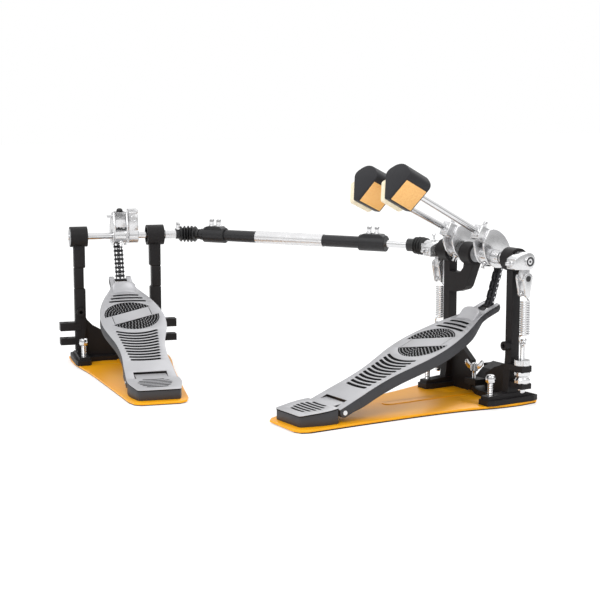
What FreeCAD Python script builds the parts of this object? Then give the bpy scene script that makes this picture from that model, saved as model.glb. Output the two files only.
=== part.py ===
import math
import os

import FreeCAD
import Part
import Sketcher

doc = FreeCAD.newDocument("DoubleBassDrumPedal")
sheet = doc.addObject("Spreadsheet::Sheet", "Sizes")

# Driving sizes in millimetres and degrees
driving = [
    ("axleHeight", 190), ("axleRadius", 5), ("runFit", 0.05), ("gap", 0.6),
    ("hingeBack", 249.5), ("hingeHeight", 17), ("boardSlope", 22.2), ("boardLength", 252),
    ("boardHalfWidth", 46.5), ("deckThick", 5), ("deckTop", 7), ("skirtDepth", 15), ("skirtWall", 3.5),
    ("earInner", 9), ("earOuter", 16.5), ("earRound", 6.5), ("toePinRadius", 2.2),
    ("gripThick", 1.5), ("plateThick", 3), ("plateFront", 321), ("plateRear", 56),
    ("heelLength", 56), ("heelFrontHalf", 28), ("heelRearHalf", 36), ("heelTop", 24.5),
    ("heelFrontTop", 17), ("hingePinRadius", 3), ("barrelRadius", 6.4), ("barrelHalf", 24),
    ("pitch", 6.35), ("spanLinks", 10), ("camRadius", 20), ("linkHeight", 5.6), ("pinHalf", 6.9),
    ("lean", 62.3), ("secondLean", 64.3), ("rodOffset", 19), ("slaveOffset", -4), ("rodRadius", 4),
    ("headReach", 165), ("headHalf", 19), ("padHalf", 17), ("faceWidth", 33), ("faceSlant", 30),
    ("backHalf", 5.5), ("backDrop", 24.5), ("strikeReach", 24.5), ("woodThick", 5), ("feltThick", 10.5),
    ("gripHalf", 9.5), ("gripLow", 14.2), ("slaveLow", 23.5), ("gripTop", 36), ("hubEnd", 11),
    ("hubRadius", 12.5), ("driveLow", 12.6), ("driveHigh", 27), ("driveDepth", 9), ("driveTop", 39),
    ("postRight", 48), ("postLeft", 85.5), ("postBranch", 36), ("slavePost", 57), ("slaveShift", 4),
    ("postWidth", 12), ("postFront", 6), ("postBack", 7), ("webThick", 8), ("slaveHousing", 25),
    ("footRise", 7),
    ("housingRadius", 15), ("housingLength", 20), ("bearingRadius", 11), ("bearingWidth", 14),
    ("rockerX", 69), ("secondRockerX", 106), ("rockerThick", 16), ("rockerReach", 22), ("eyeClear", 3.3),
    ("linkPinRadius", 2), ("springRadius", 5.4), ("wireRadius", 1.2), ("springPitch", 3),
    ("eyeSlack", 1), ("nutRadius", 10), ("springBottom", 96), ("linkDrop", 28.5), ("hookBend", 3),
    ("hookRise", 3),
    ("ujMain", 152), ("ujSlave", 107), ("shaftLength", 372), ("shaftYaw", 31), ("slaveYaw", 74),
    ("shaftRodRadius", 5.2), ("tubeRadius", 8.5), ("sleeveRadius", 9.2), ("collarRadius", 11.5),
    ("bootRadius", 12.6), ("bootBore", 9.7), ("bootHalf", 17), ("secondX", 64), ("spurRadius", 4),
    ("spurHead", 6.5),
    ("stubRadius", 6.5), ("forkInner", 3.2), ("forkOuter", 5.3), ("forkHalf", 2), ("forkLap", 2.2),
]
for row, (alias, value) in enumerate(driving, start=1):
    sheet.set("A%d" % row, alias)
    sheet.set("B%d" % row, "%g" % value)
    sheet.setAlias("B%d" % row, alias)
doc.recompute()


class Size:
    # A number that keeps the sheet expression it comes from
    def __init__(self, value, text):
        self.value = float(value)
        self.text = text

    def join(self, other, sign, swap=False):
        other = asSize(other)
        a, b = (other, self) if swap else (self, other)
        result = {"+": a.value + b.value, "-": a.value - b.value, "*": a.value * b.value}.get(sign)
        if sign == "/":
            result = a.value / b.value
        return Size(result, "(%s %s %s)" % (a.text, sign, b.text))

    def __add__(self, other):
        return self.join(other, "+")

    def __radd__(self, other):
        return self.join(other, "+", True)

    def __sub__(self, other):
        return self.join(other, "-")

    def __rsub__(self, other):
        return self.join(other, "-", True)

    def __mul__(self, other):
        return self.join(other, "*")

    def __rmul__(self, other):
        return self.join(other, "*", True)

    def __truediv__(self, other):
        return self.join(other, "/")

    def __neg__(self):
        return Size(-self.value, "(0 - %s)" % self.text)


def asSize(value):
    if isinstance(value, Size):
        return value
    return Size(value, "(%.6f)" % value if value < 0 else "%.6f" % value)


def sine(angle):
    angle = asSize(angle)
    return Size(math.sin(math.radians(angle.value)), "sin(%s * 1 deg)" % angle.text)


def cosine(angle):
    angle = asSize(angle)
    return Size(math.cos(math.radians(angle.value)), "cos(%s * 1 deg)" % angle.text)


def root(value):
    return Size(math.sqrt(value.value), "sqrt(%s)" % value.text)


class Named:
    pass


s = Named()
for alias, value in driving:
    setattr(s, alias, Size(sheet.get(alias), "Sizes.%s" % alias))

# Places that follow from the driving sizes
s.plateTop = s.gripThick + s.plateThick
s.span = s.pitch * s.spanLinks
s.toeDrop = root(s.span * s.span + s.camRadius * s.camRadius)
s.toeHeight = s.axleHeight - s.toeDrop
s.spanTilt = Size(math.degrees(math.atan2(s.camRadius.value, s.span.value)),
                  "(atan2(%s; %s) / 1 deg)" % (s.camRadius.text, s.span.text))
rise = s.toeHeight - s.hingeHeight
s.toeS = s.hingeBack * cosine(s.boardSlope) + rise * sine(s.boardSlope)
s.toeN = rise * cosine(s.boardSlope) - s.hingeBack * sine(s.boardSlope)
s.wrapHalf = Size(math.degrees(math.asin(s.pitch.value / s.camRadius.value)),
                  "(asin(%s / %s) / 1 deg)" % (s.pitch.text, s.camRadius.text))
s.slaveX = -s.ujMain - s.shaftLength * cosine(s.shaftYaw) - s.ujSlave * cosine(s.slaveYaw)
s.slaveY = -(s.shaftLength * sine(s.shaftYaw)) - s.ujSlave * sine(s.slaveYaw)
s.pivotHeight = s.axleHeight - s.rockerReach
halfTurns = round(2 * (s.pivotHeight - s.linkDrop - s.springBottom).value / s.springPitch.value)
coilRoom = "(%s - Sizes.linkDrop - Sizes.springBottom)" % s.pivotHeight.text
s.springTurns = Size(halfTurns / 2, "(round(2 * %s / Sizes.springPitch) / 2)" % coilRoom)
s.springTop = s.springBottom + s.springPitch * s.springTurns
s.hookTop = s.springTop + s.hookBend + s.hookRise + s.springRadius
s.hookBottom = s.springBottom - s.hookBend - s.hookRise - s.springRadius

nodes = []
zAxis = FreeCAD.Vector(0, 0, 1)
xAxis = FreeCAD.Vector(1, 0, 0)
yAxis = FreeCAD.Vector(0, 1, 0)
turns = {
    "z": FreeCAD.Rotation(), "x": FreeCAD.Rotation(yAxis, 90),
    "y": FreeCAD.Rotation(xAxis, -90),
}
counter = [0]


def serial(word):
    counter[0] += 1
    return "%s_%d" % (word, counter[0])


def bind(item, name, value):
    value = asSize(value)
    if "Sizes" in value.text:
        item.setExpression(name, value.text)


def put(item, at, rotation=None):
    at = [asSize(v) for v in at]
    item.Placement = FreeCAD.Placement(FreeCAD.Vector(*[v.value for v in at]),
                                       rotation or FreeCAD.Rotation())
    for axis, value in zip("xyz", at):
        bind(item, "Placement.Base.%s" % axis, value)


def leanBack(item, at, angle):
    angle = asSize(angle)
    put(item, at, FreeCAD.Rotation(xAxis, angle.value))
    bind(item, "Placement.Rotation.Angle", angle)


def rod(radius, length, at, axis="z"):
    item = doc.addObject("Part::Cylinder", serial("Rod"))
    item.Radius = asSize(radius).value
    item.Height = asSize(length).value
    bind(item, "Radius", radius)
    bind(item, "Height", length)
    put(item, at, turns[axis])
    return item


def taper(first, second, length, at, axis="z"):
    item = doc.addObject("Part::Cone", serial("Taper"))
    for name, value in (("Radius1", first), ("Radius2", second), ("Height", length)):
        setattr(item, name, asSize(value).value)
        bind(item, name, value)
    put(item, at, turns[axis])
    return item


def block(low, high):
    item = doc.addObject("Part::Box", serial("Block"))
    spans = [asSize(b) - asSize(a) for a, b in zip(low, high)]
    for name, value in zip(("Length", "Width", "Height"), spans):
        setattr(item, name, value.value)
        bind(item, name, value)
    put(item, low)
    return item


def ball(radius, at):
    item = doc.addObject("Part::Sphere", serial("Ball"))
    item.Radius = asSize(radius).value
    bind(item, "Radius", radius)
    put(item, at)
    return item


def fuse(*items):
    item = doc.addObject("Part::MultiFuse", serial("Fuse"))
    item.Shapes = list(items)
    item.Refine = True
    return item


def cut(base, *tools):
    item = doc.addObject("Part::Cut", serial("Cut"))
    item.Base = base
    item.Tool = tools[0] if len(tools) == 1 else fuse(*tools)
    item.Refine = True
    return item


def group(*items):
    item = doc.addObject("Part::Compound", serial("Group"))
    item.Links = list(items)
    return item


def feature(shape):
    item = doc.addObject("Part::Feature", serial("Form"))
    item.Shape = shape
    return item


def profile(points, plane, start, length):
    # A padded outline in its own body, each corner tied to the sheet
    body = doc.addObject("PartDesign::Body", serial("Body"))
    sketch = body.newObject("Sketcher::SketchObject", serial("Outline"))
    role = plane + "_Plane"
    support = [f for f in body.Origin.OriginFeatures if f.Role == role][0]
    sketch.AttachmentSupport = [(support, "")]
    sketch.MapMode = "FlatFace"
    start = asSize(start)
    sketch.AttachmentOffset = FreeCAD.Placement(FreeCAD.Vector(0, 0, start.value), FreeCAD.Rotation())
    bind(sketch, "AttachmentOffset.Base.z", start)
    points = [(asSize(a), asSize(b)) for a, b in points]
    count = len(points)
    for i in range(count):
        a, b = points[i], points[(i + 1) % count]
        sketch.addGeometry(Part.LineSegment(FreeCAD.Vector(a[0].value, a[1].value, 0),
                                            FreeCAD.Vector(b[0].value, b[1].value, 0)))
    for i in range(count):
        sketch.addConstraint(Sketcher.Constraint("Coincident", i, 2, (i + 1) % count, 1))
    for i, corner in enumerate(points):
        for kind, value in zip(("DistanceX", "DistanceY"), corner):
            if value.value < 0:
                index = sketch.addConstraint(Sketcher.Constraint(kind, i, 1, -1, 1, -value.value))
                value = -value
            else:
                index = sketch.addConstraint(Sketcher.Constraint(kind, -1, 1, i, 1, value.value))
            if "Sizes" in value.text:
                sketch.setExpression("Constraints[%d]" % index, value.text)
    pad = body.newObject("PartDesign::Pad", serial("Pad"))
    pad.Profile = sketch
    pad.Length = asSize(length).value
    bind(pad, "Length", length)
    body.Tip = pad
    return body


def node(label, item, side="main"):
    # A finished sub-part, moved to the slave pedal's place where it belongs to it
    item.Label = label
    if side == "slave":
        put(item, (s.slaveX, s.slaveY, 0), FreeCAD.Rotation(zAxis, s.slaveYaw.value))
        bind(item, "Placement.Rotation.Angle", s.slaveYaw)
    if side == "shaft":
        put(item, (-s.ujMain, 0, s.axleHeight), FreeCAD.Rotation(zAxis, 180 + s.shaftYaw.value))
        bind(item, "Placement.Rotation.Angle", 180 + s.shaftYaw)
    nodes.append(item)
    return item


def common(*items):
    item = doc.addObject("Part::MultiCommon", serial("Common"))
    item.Shapes = list(items)
    return item


def ring(outer, bore, length, at, axis):
    return cut(rod(outer, length, at, axis), rod(bore, length, at, axis))


# Base plates and the rubber sheets under them
mainOutline = [(-27, -s.plateFront), (27, -s.plateFront), (36, 4 - s.plateFront), (42, 14 - s.plateFront),
               (45, -280), (43, -215), (44, -150), (47, -90), (53, -40), (60, 2), (60, 22), (54, 38),
               (42, s.plateRear - 4), (28, s.plateRear), (-92, s.plateRear), (-104, s.plateRear - 5),
               (-112, 36),
               (-113, 14), (-108, -18), (-84, -100), (-52, -215), (-44, -280), (-42, 14 - s.plateFront),
               (-36, 4 - s.plateFront)]
slaveOutline = [(-25, -s.plateFront), (25, -s.plateFront), (33, 4 - s.plateFront), (38, 14 - s.plateFront),
                (42, -275), (50, -200), (62, -90), (73, -8), (74, 30), (70, s.plateRear - 6),
                (60, s.plateRear),
                (-60, s.plateRear), (-70, s.plateRear - 6), (-75, 30), (-75, -8), (-62, -90), (-49, -190),
                (-42, -275), (-38, 14 - s.plateFront), (-33, 4 - s.plateFront)]
spurY = -34
slaveRight = s.slavePost - s.slaveShift
slaveLeft = -s.slavePost - s.slaveShift
mainSpurs = [s.postRight, -s.postLeft]
slaveSpurs = [slaveRight, slaveLeft]
for side, outline, spurs in (("main", mainOutline, mainSpurs), ("slave", slaveOutline, slaveSpurs)):
    holes = [rod(s.spurRadius + 1.5, 20, (x, spurY, -5)) for x in spurs]
    node(side + "_base_plate", cut(profile(outline, "XY", s.gripThick, s.plateThick), *holes), side)
    inner = [(a * 0.97, b * 0.99) for a, b in outline]
    holes = [rod(s.spurRadius + 2, 20, (x, spurY, -5)) for x in spurs]
    node(side + "_grip_sheet", cut(profile(inner, "XY", 0, s.gripThick), *holes), side)
    pieces = []
    for x in spurs:
        pieces.append(fuse(rod(s.spurRadius, 30, (x, spurY, 6)), rod(s.spurHead, 9, (x, spurY, 33)),
                           taper(s.spurHead, s.spurHead - 2, 2, (x, spurY, 42)),
                           taper(0.6, s.spurRadius, 4, (x, spurY, 2))))
    node(side + "_spurs", group(*pieces), side)


# Castings with posts, bearing housings, webs and spring arms
def post(x):
    outline = [(-12, s.plateTop + 4), (15, s.plateTop + 4), (9.5, 40), (s.postBack, 66),
               (s.postBack, s.axleHeight - 8), (-s.postFront, s.axleHeight - 8), (-s.postFront, 66),
               (-8, 40)]
    return profile(outline, "YZ", x - s.postWidth / 2, s.postWidth)


def housing(x, length):
    return rod(s.housingRadius, length, (x - length / 2, 0, s.axleHeight), "x")


def foot(x):
    # A low flange round the post and a ridge from the spur to the post
    plan = [(x - 10, -45), (x + 8, -45), (x + 11, -36), (x + 11, 30), (x + 8, 38), (x - 10, 38),
            (x - 12, 30), (x - 12, -36)]
    ridge = [(-45, s.plateTop), (38, s.plateTop), (38, s.plateTop + s.footRise), (15, 18), (-12, 18),
             (-43, 16)]
    return [profile(plan, "XY", s.plateTop, s.footRise), profile(ridge, "YZ", x - 7.5, 15)]


def springArms(x, outer, levels):
    low, high = (x, outer + 9) if outer.value > x.value else (outer - 9, x)
    return [block((low, -8, z0), (high, 8, z1)) for z0, z1 in levels]


def web(points, front, thick):
    return profile(points, "XZ", -(front + thick), thick)


def casting(label, posts, length, arms, levels, slab, extra, side):
    solids = [profile(slab, "XY", s.plateTop, s.footRise)]
    holes = []
    for x, column, spur in posts:
        solids += [post(column), housing(x, length)] + foot(column)
        solids.append(rod(6, 14, (column, -14, 79), "y"))
        holes += [rod(2.6, 8, (column, -15, 79), "y"), rod(s.spurRadius + s.runFit, 60, (spur, spurY, 0))]
        holes.append(rod(s.bearingRadius + 0.02, length + 2, (x - length / 2 - 1, 0, s.axleHeight), "x"))
    for x, outer in arms:
        solids += springArms(x, outer, levels)
        holes.append(rod(3 + s.gap, 60, (outer, 0, 15)))
    return node(label, cut(fuse(*(solids + extra[0])), *(holes + extra[1])), side)


leverX = (s.postRight - s.postLeft) / 2
leftColumn = -s.postLeft + 3.5
inBranch = -s.postBranch
zA = s.axleHeight
branch = [(leftColumn, zA - 54), (leftColumn + 20, zA - 54), (inBranch - 9, zA - 49),
          (inBranch - 4, zA - 44),
          (inBranch + 9.6, zA - 14), (inBranch + 9.6, zA - 4), (inBranch - 9.6, zA - 4),
          (inBranch - 9.6, zA - 12),
          (inBranch - 11.2, zA - 20), (inBranch - 18, zA - 27), (inBranch - 28, zA - 28),
          (leftColumn, zA - 27)]
leftWeb = [(leftColumn, s.plateTop), (leverX - 15, s.plateTop), (leverX - 15, 46), (-42, 52), (-54, 61),
           (-66, 80), (leftColumn + 6, 100), (leftColumn, 106)]
rightWeb = [(leverX + 15, s.plateTop), (s.postRight, s.plateTop), (s.postRight, 66), (s.postRight - 6, 60),
            (35, 53), (20, 46.5), (14, 45), (8, 41), (leverX + 15, 34)]
extras = [web(branch, -s.postFront, s.postFront + s.postBack), web(leftWeb, 0, s.webThick),
          web(rightWeb, 0, s.webThick), housing(-s.postBranch, s.housingLength)]
extras += [block((leverX + a, 24, s.plateTop), (leverX + b, 38, 40)) for a, b in ((-18, -12.5), (12.5, 18))]
extras.append(block((leverX - 18, 10, s.plateTop), (leverX + 18, 38, s.plateTop + 4)))
extras.append(rod(3, 26, (leverX - 13, 31, 34), "x"))
branchBore = rod(s.bearingRadius + 0.02, s.housingLength + 2,
                 (-s.postBranch - s.housingLength / 2 - 1, 0, s.axleHeight), "x")
mainSlab = [(leftColumn - 8, -32), (leftColumn + 8, -18), (-70, 2), (-58, 8), (-46, 7), (-34, 1), (-20, -6),
            (-6, -11), (9, -11), (24, -18), (s.postRight - 8, -32), (s.postRight, 36), (leftColumn, 36)]
mainPosts = [(s.postRight, s.postRight, s.postRight), (-s.postLeft, leftColumn, -s.postLeft)]
casting("main_casting", mainPosts, s.housingLength,
        [(s.postRight, s.rockerX), (leftColumn, -s.secondRockerX)], ((48, 56), (26, 33)), mainSlab,
        (extras, [branchBore]), "main")
slaveWeb = [(slaveLeft, s.plateTop), (slaveRight, s.plateTop), (slaveRight, 76), (slaveRight - 5, 72),
            (slaveRight - 9, 65), (slaveRight - 17, 56.5), (slaveRight - 29, 49), (10, 45.5), (-18, 45.5),
            (slaveLeft + 32, 49),
            (slaveLeft + 19, 56.5), (slaveLeft + 11, 65), (slaveLeft + 7, 72), (slaveLeft, 76)]
slaveSlab = [(slaveLeft - 8, -32), (slaveLeft + 14, -16), (-30, -10), (22, -10), (slaveRight - 14, -16),
             (slaveRight + 8, -32), (slaveRight, 36), (slaveLeft, 36)]
casting("slave_casting", [(slaveRight, slaveRight, slaveRight), (slaveLeft, slaveLeft, slaveLeft)],
        s.slaveHousing,
        [(slaveRight, slaveRight + 21), (slaveLeft, slaveLeft - 21)], ((51, 63), (30, 40)), slaveSlab,
        ([web(slaveWeb, 0, s.webThick)], []), "slave")


def bearings(places, width):
    rings = []
    for x in places:
        rings.append(ring(s.bearingRadius, s.axleRadius + s.runFit, width,
                          (x - width / 2, 0, s.axleHeight), "x"))
    return rings


node("main_bearings", group(*(bearings([s.postRight, -s.postLeft], s.bearingWidth)
                              + bearings([-s.postBranch - 5, -s.postBranch + 5], 8))))
node("slave_bearings", group(*bearings([slaveRight, slaveLeft], s.bearingWidth)), "slave")

# Heel plates and hinge pins
heelY = -s.hingeBack
for side in ("main", "slave"):
    front = heelY - s.heelLength
    plan = [(-s.heelFrontHalf, front), (0, front - 4), (s.heelFrontHalf, front),
            (s.heelRearHalf + 2, heelY - 16), (s.heelRearHalf, heelY - 8.5), (-s.heelRearHalf, heelY - 8.5),
            (-s.heelRearHalf - 2, heelY - 16)]
    shape = [(front - 5, s.plateTop), (heelY, s.plateTop), (heelY, s.heelTop), (front - 5, s.heelFrontTop)]
    slab = common(profile(plan, "XY", s.plateTop, 30), profile(shape, "YZ", -45, 90))
    solids = [slab]
    solids.append(block((-s.barrelHalf, heelY - 12, s.plateTop), (s.barrelHalf, heelY + 5, s.hingeHeight)))
    solids.append(block((-s.barrelHalf, heelY - 12, s.plateTop),
                        (s.barrelHalf, heelY, s.hingeHeight + s.barrelRadius)))
    solids.append(rod(s.barrelRadius, 2 * s.barrelHalf, (-s.barrelHalf, heelY, s.hingeHeight), "x"))
    grooves = []
    for k in range(6):
        wide = s.heelFrontHalf - 7
        y = heelY - 17 - 6.5 * k
        grooves.append(block((-wide, y - 1.2, s.heelTop - 3.4 - 0.9 * k), (wide, y + 1.2, 40)))
    grooves.append(rod(s.hingePinRadius + 0.02, 90, (-45, heelY, s.hingeHeight), "x"))
    node(side + "_heel_plate", cut(fuse(*solids), *grooves), side)
    node(side + "_hinge_pin", rod(s.hingePinRadius, 2 * s.heelRearHalf,
                                  (-s.heelRearHalf, heelY, s.hingeHeight), "x")
         if side == "main" else group(rod(s.hingePinRadius, 2 * s.heelRearHalf,
                                          (-s.heelRearHalf, heelY, s.hingeHeight), "x")), side)


# Footboards in their own sloping frame, Y along the board from the hinge
def edgeCurve(inset, start, end):
    wide = s.boardHalfWidth.value / 46.5
    long = s.boardLength.value / 252
    table = [(9, 34.5), (30, 33), (57, 31.5), (87, 34), (112, 40.2), (132, 44.8), (152, 46.5), (170, 45.3),
             (190, 41), (212, 33.5), (231, 24.5), (241, 19.8), (252, 17.6)]
    points = [((w - inset) * wide, y * long) for y, w in table if start <= y <= end]
    right = [FreeCAD.Vector(x, y, 0) for x, y in points]
    left = [FreeCAD.Vector(-x, y, 0) for x, y in reversed(points)]
    edges = []
    for line in (right, left):
        curve = Part.BSplineCurve()
        curve.interpolate(line)
        edges.append(curve.toShape())
    edges.insert(1, Part.makeLine(right[-1], left[0]))
    edges.append(Part.makeLine(left[-1], right[0]))
    return Part.Face(Part.Wire(edges))


def lift(face, low, high):
    moved = face.copy()
    moved.translate(FreeCAD.Vector(0, 0, low))
    return moved.extrude(FreeCAD.Vector(0, 0, high - low))


def boardShape():
    top = s.deckTop.value
    under = top - s.deckThick.value
    bottom = top - s.skirtDepth.value
    inner = s.earInner.value
    outer = s.earOuter.value
    toeS = s.toeS.value
    toeN = s.toeN.value
    deck = lift(edgeCurve(0, 0, 300), under, top)
    inside = lift(edgeCurve(1 + s.skirtWall.value, 20, 300), bottom - 1, under + 1)
    skirt = lift(edgeCurve(1, 0, 300), bottom, under).cut(inside)
    cutter = Part.makeBox(200, 40, 60, FreeCAD.Vector(-100, -20, bottom - 5))
    skirt = skirt.cut(cutter)
    solids = [skirt]
    half = s.barrelHalf.value + 1
    wide = s.heelRearHalf.value - 1.5 - half
    barrel = s.barrelRadius.value
    for low in (half, -half - wide):
        solids.append(Part.makeBox(wide, 16, top, FreeCAD.Vector(low, 0, -0.6)))
        solids.append(Part.makeCylinder(barrel, wide, FreeCAD.Vector(low, 0, 0), xAxis))
    end = s.boardLength.value
    stepOutline = ((end - 22, under), (end, under), (end, top + 5), (end - 10, top + 4.6),
                   (end - 16, top + 2))
    step = [FreeCAD.Vector(-17, y, n) for y, n in stepOutline]
    solids.append(Part.Face(Part.makePolygon(step + step[:1])).extrude(xAxis * 34))
    for low in (inner, -outer):
        round_ = s.earRound.value
        base = min(under, toeN - round_)
        reach = max(top, toeN + round_) - base
        solids.append(Part.makeBox(outer - inner, toeS - end + 16, reach,
                                   FreeCAD.Vector(low, end - 16, base)))
        solids.append(Part.makeCylinder(round_, outer - inner, FreeCAD.Vector(low, toeS, toeN), xAxis))
    shape = deck.multiFuse(solids)
    hingeBore = s.hingePinRadius.value + s.runFit.value
    toeBore = s.toePinRadius.value + s.runFit.value
    holes = [Part.makeCylinder(hingeBore, 100, FreeCAD.Vector(-50, 0, 0), xAxis),
             Part.makeCylinder(toeBore, 60, FreeCAD.Vector(-30, toeS, toeN), xAxis)]
    deep = 1.4
    for y, wide in ((222, 14), (213, 18.5), (204, 22)):
        holes.append(Part.makeBox(2 * wide, 2.6, deep + 1, FreeCAD.Vector(-wide, y, top - deep)))
    for k in range(11):
        y = 116 - 7.1 * k
        wide = 27.5 - 0.85 * k
        holes.append(Part.makeBox(2 * wide, 2.8, deep + 1, FreeCAD.Vector(-wide, y, top - deep)))
    holes.append(Part.makeBox(43, 2.8, deep + 1, FreeCAD.Vector(-21.5, 16, top - deep)))
    oval = Part.Face(Part.Wire(Part.Ellipse(FreeCAD.Vector(0, 163, 0), 39, 37.5).toShape()))
    holes.append(lift(oval, top - 0.8, top + 2))
    return shape.cut(Part.makeCompound(holes)).removeSplitter()


board = boardShape()
for side in ("main", "slave"):
    item = feature(board)
    leanBack(item, (0, heelY, s.hingeHeight), s.boardSlope)
    node(side + "_footboard", group(item), side)


# Roller chains, in the plane of one pedal
def plate(low, high, length, height):
    middle = Part.makeBox(high - low, height, length, FreeCAD.Vector(low, -height / 2, 0))
    ends = [Part.makeCylinder(height / 2, high - low, FreeCAD.Vector(low, 0, z), xAxis)
            for z in (0, length)]
    return middle.multiFuse(ends).removeSplitter()


def chainRun(first, count, ownFirst, ownLast, shortEnd=False):
    pitch = s.pitch.value
    height = s.linkHeight.value
    solids = []
    holes = []
    for k in range(count):
        outerLink = (first + k) % 2 == 0
        bands = ((-6.1, -5.3), (-0.9, 0.9), (5.3, 6.1))
        if not outerLink:
            bands = ((-5, -4.2), (-2.2, -1.4), (1.4, 2.2), (4.2, 5))
        length = pitch * (0.1 if shortEnd and k == count - 1 else 1)
        for low, high in bands:
            link = plate(low, high, length, height)
            link.translate(FreeCAD.Vector(0, 0, k * pitch))
            solids.append(link)
    half = s.pinHalf.value
    pins = range(0 if ownFirst else 1, count + (1 if ownLast else 0))
    for k in pins:
        solids.append(Part.makeCylinder(1.1, 2 * half, FreeCAD.Vector(-half, 0, k * pitch), xAxis))
        for low in (-4.2, 2.2):
            solids.append(Part.makeCylinder(1.65, 2, FreeCAD.Vector(low, 0, k * pitch), xAxis))
    if not ownFirst:
        holes.append(Part.makeCylinder(1.1 + s.runFit.value, 30, FreeCAD.Vector(-15, 0, 0), xAxis))
    shape = solids[0].multiFuse(solids[1:]).removeSplitter()
    if holes:
        shape = shape.cut(holes[0])
    return shape


def camPoint(step):
    angle = math.radians(-s.spanTilt.value + 2 * s.wrapHalf.value * step)
    return FreeCAD.Vector(0, s.camRadius.value * math.cos(angle),
                          s.axleHeight.value + s.camRadius.value * math.sin(angle))


def runAt(shape, start, end):
    # Turns a run that stands on Z so that it points from start to end
    direction = end - start
    angle = math.degrees(math.atan2(-direction.y, direction.z))
    moved = shape.copy()
    moved.Placement = FreeCAD.Placement(start, FreeCAD.Rotation(xAxis, angle))
    return moved


# Two links make one rigid segment on the cam, so the step is twice the pitch
toe = FreeCAD.Vector(0, 0, s.toeHeight.value)
spanRun = chainRun(0, int(round(s.spanLinks.value)), True, True)
toePin = Part.makeCylinder(s.toePinRadius.value, 2 * s.earOuter.value,
                           FreeCAD.Vector(-s.earOuter.value, 0, 0), xAxis)
spanRun = spanRun.fuse(toePin).removeSplitter()
stepRun = chainRun(0, 2, False, True)
lastRun = chainRun(0, 2, False, False, True)
camRun = chainRun(0, 2, True, True)
for side in ("main", "slave"):
    runs = [("chain_span", runAt(spanRun, toe, camPoint(0))),
            ("chain_segment_1", runAt(stepRun, camPoint(0), camPoint(1))),
            ("chain_segment_2", runAt(lastRun, camPoint(1), camPoint(2))),
            ("cam_chain", runAt(camRun, camPoint(2), camPoint(3)))]
    for word, shape in runs:
        node(side + "_" + word, group(feature(shape)), side)


# Cam hubs that hold the beater rods, in a frame whose Z lies along the rod
def camHub(left, offset, low, tilt):
    # Two cheeks with a straight front, a round back behind the chain and a block that grips the rod
    cheek = [(-8, 14), (2, 22), (6.5, 25.3), (25.8, 25.8), (30.8, 17.8), (32, 7), (29.5, -4), (22.5, -16),
             (12, -24), (2, -25), (-9, -17), (-13.5, -8), (-13.5, 6)]
    grip = group(block((-8, offset - s.gripHalf, low), (8, offset + s.gripHalf, s.gripTop)))
    socket = group(rod(s.rodRadius + s.runFit, 30, (0, offset, low + 1.3)))
    for item in (grip, socket):
        leanBack(item, (0, 0, 0), tilt)
    wheel = [rod(s.hubRadius, s.hubEnd - left, (left, 0, 0), "x"), profile(cheek, "YZ", 8, s.hubEnd - 8),
             profile(cheek, "YZ", -11, 3), grip]
    return cut(fuse(*wheel), rod(s.axleRadius + 0.02, 60, (-30, 0, 0), "x"), socket)


for label, x, left, lean, offset, low, tilt, side in (
        ("main_cam_hub", 0, -14, s.lean, s.rodOffset, s.gripLow, 0, "main"),
        ("second_cam_hub", -s.secondX, -11, s.secondLean, s.rodOffset, s.gripLow, 0, "main"),
        ("slave_cam_hub", 0, -11, s.lean, s.slaveOffset, s.slaveLow, -s.lean, "slave")):
    hub = camHub(left, offset, low, tilt)
    leanBack(hub, (x, 0, s.axleHeight), lean)
    node(label, group(hub), side)

# Axles
axleLength = s.rockerX + 11 + s.postBranch - 0.5
node("main_axle", fuse(rod(s.axleRadius, axleLength, (0.5 - s.postBranch, 0, s.axleHeight), "x"),
                       rod(8.7, 14, (s.hubEnd + 0.5, 0, s.axleHeight), "x")))
node("second_axle", rod(s.axleRadius, s.ujMain - 16 - s.postBranch - 0.5, (16 - s.ujMain, 0, s.axleHeight),
                        "x"))
slaveLength = s.ujSlave - 16 - slaveLeft + 15
node("slave_axle", group(rod(s.axleRadius, slaveLength, (slaveLeft - 15, 0, s.axleHeight), "x")), "slave")

# Block on the slave axle, beside its cam
driveWidth = s.driveHigh - s.driveLow
drive = fuse(block((s.driveLow, -s.driveDepth, s.axleHeight),
                   (s.driveHigh, s.driveDepth, s.axleHeight + s.driveTop)),
             rod(12, driveWidth, (s.driveLow, 0, s.axleHeight), "x"))
driveBore = rod(s.axleRadius + 0.02, driveWidth + 2, (s.driveLow - 1, 0, s.axleHeight), "x")
node("slave_drive_block", cut(drive, driveBore), "slave")


# Rocker arms, links, springs and tension rods
def rocker(x):
    low = x - s.rockerThick / 2
    solids = [rod(10.8, s.rockerThick, (low, 0, s.axleHeight), "x"),
              block((low, -22, s.axleHeight - 9.5), (low + s.rockerThick, 0, s.axleHeight + 9)),
              block((x - 4, -6, s.pivotHeight), (x + 4, 6, s.axleHeight - 8)),
              rod(6, 8, (x - 4, 0, s.pivotHeight), "x")]
    holes = [rod(s.axleRadius + 0.02, 40, (x - 20, 0, s.axleHeight), "x"),
             rod(s.linkPinRadius + 0.02, 20, (x - 10, 0, s.pivotHeight), "x")]
    return cut(fuse(*solids), *holes)


def springLink(x):
    pinZ = s.hookTop - s.wireRadius - 2.5
    solids = [rod(2, 16, (x - 8, 0, pinZ), "x")]
    holes = []
    for low in (x - 8.2, x + 4.6):
        solids.append(rod(8, 3.6, (low, 0, s.pivotHeight), "x"))
        solids.append(block((low, -5, pinZ - 3.5), (low + 3.6, 5, s.pivotHeight)))
        holes.append(rod(s.linkPinRadius + s.eyeClear, 6, (low - 1, 0, s.pivotHeight), "x"))
    return cut(fuse(*solids), *holes)


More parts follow.
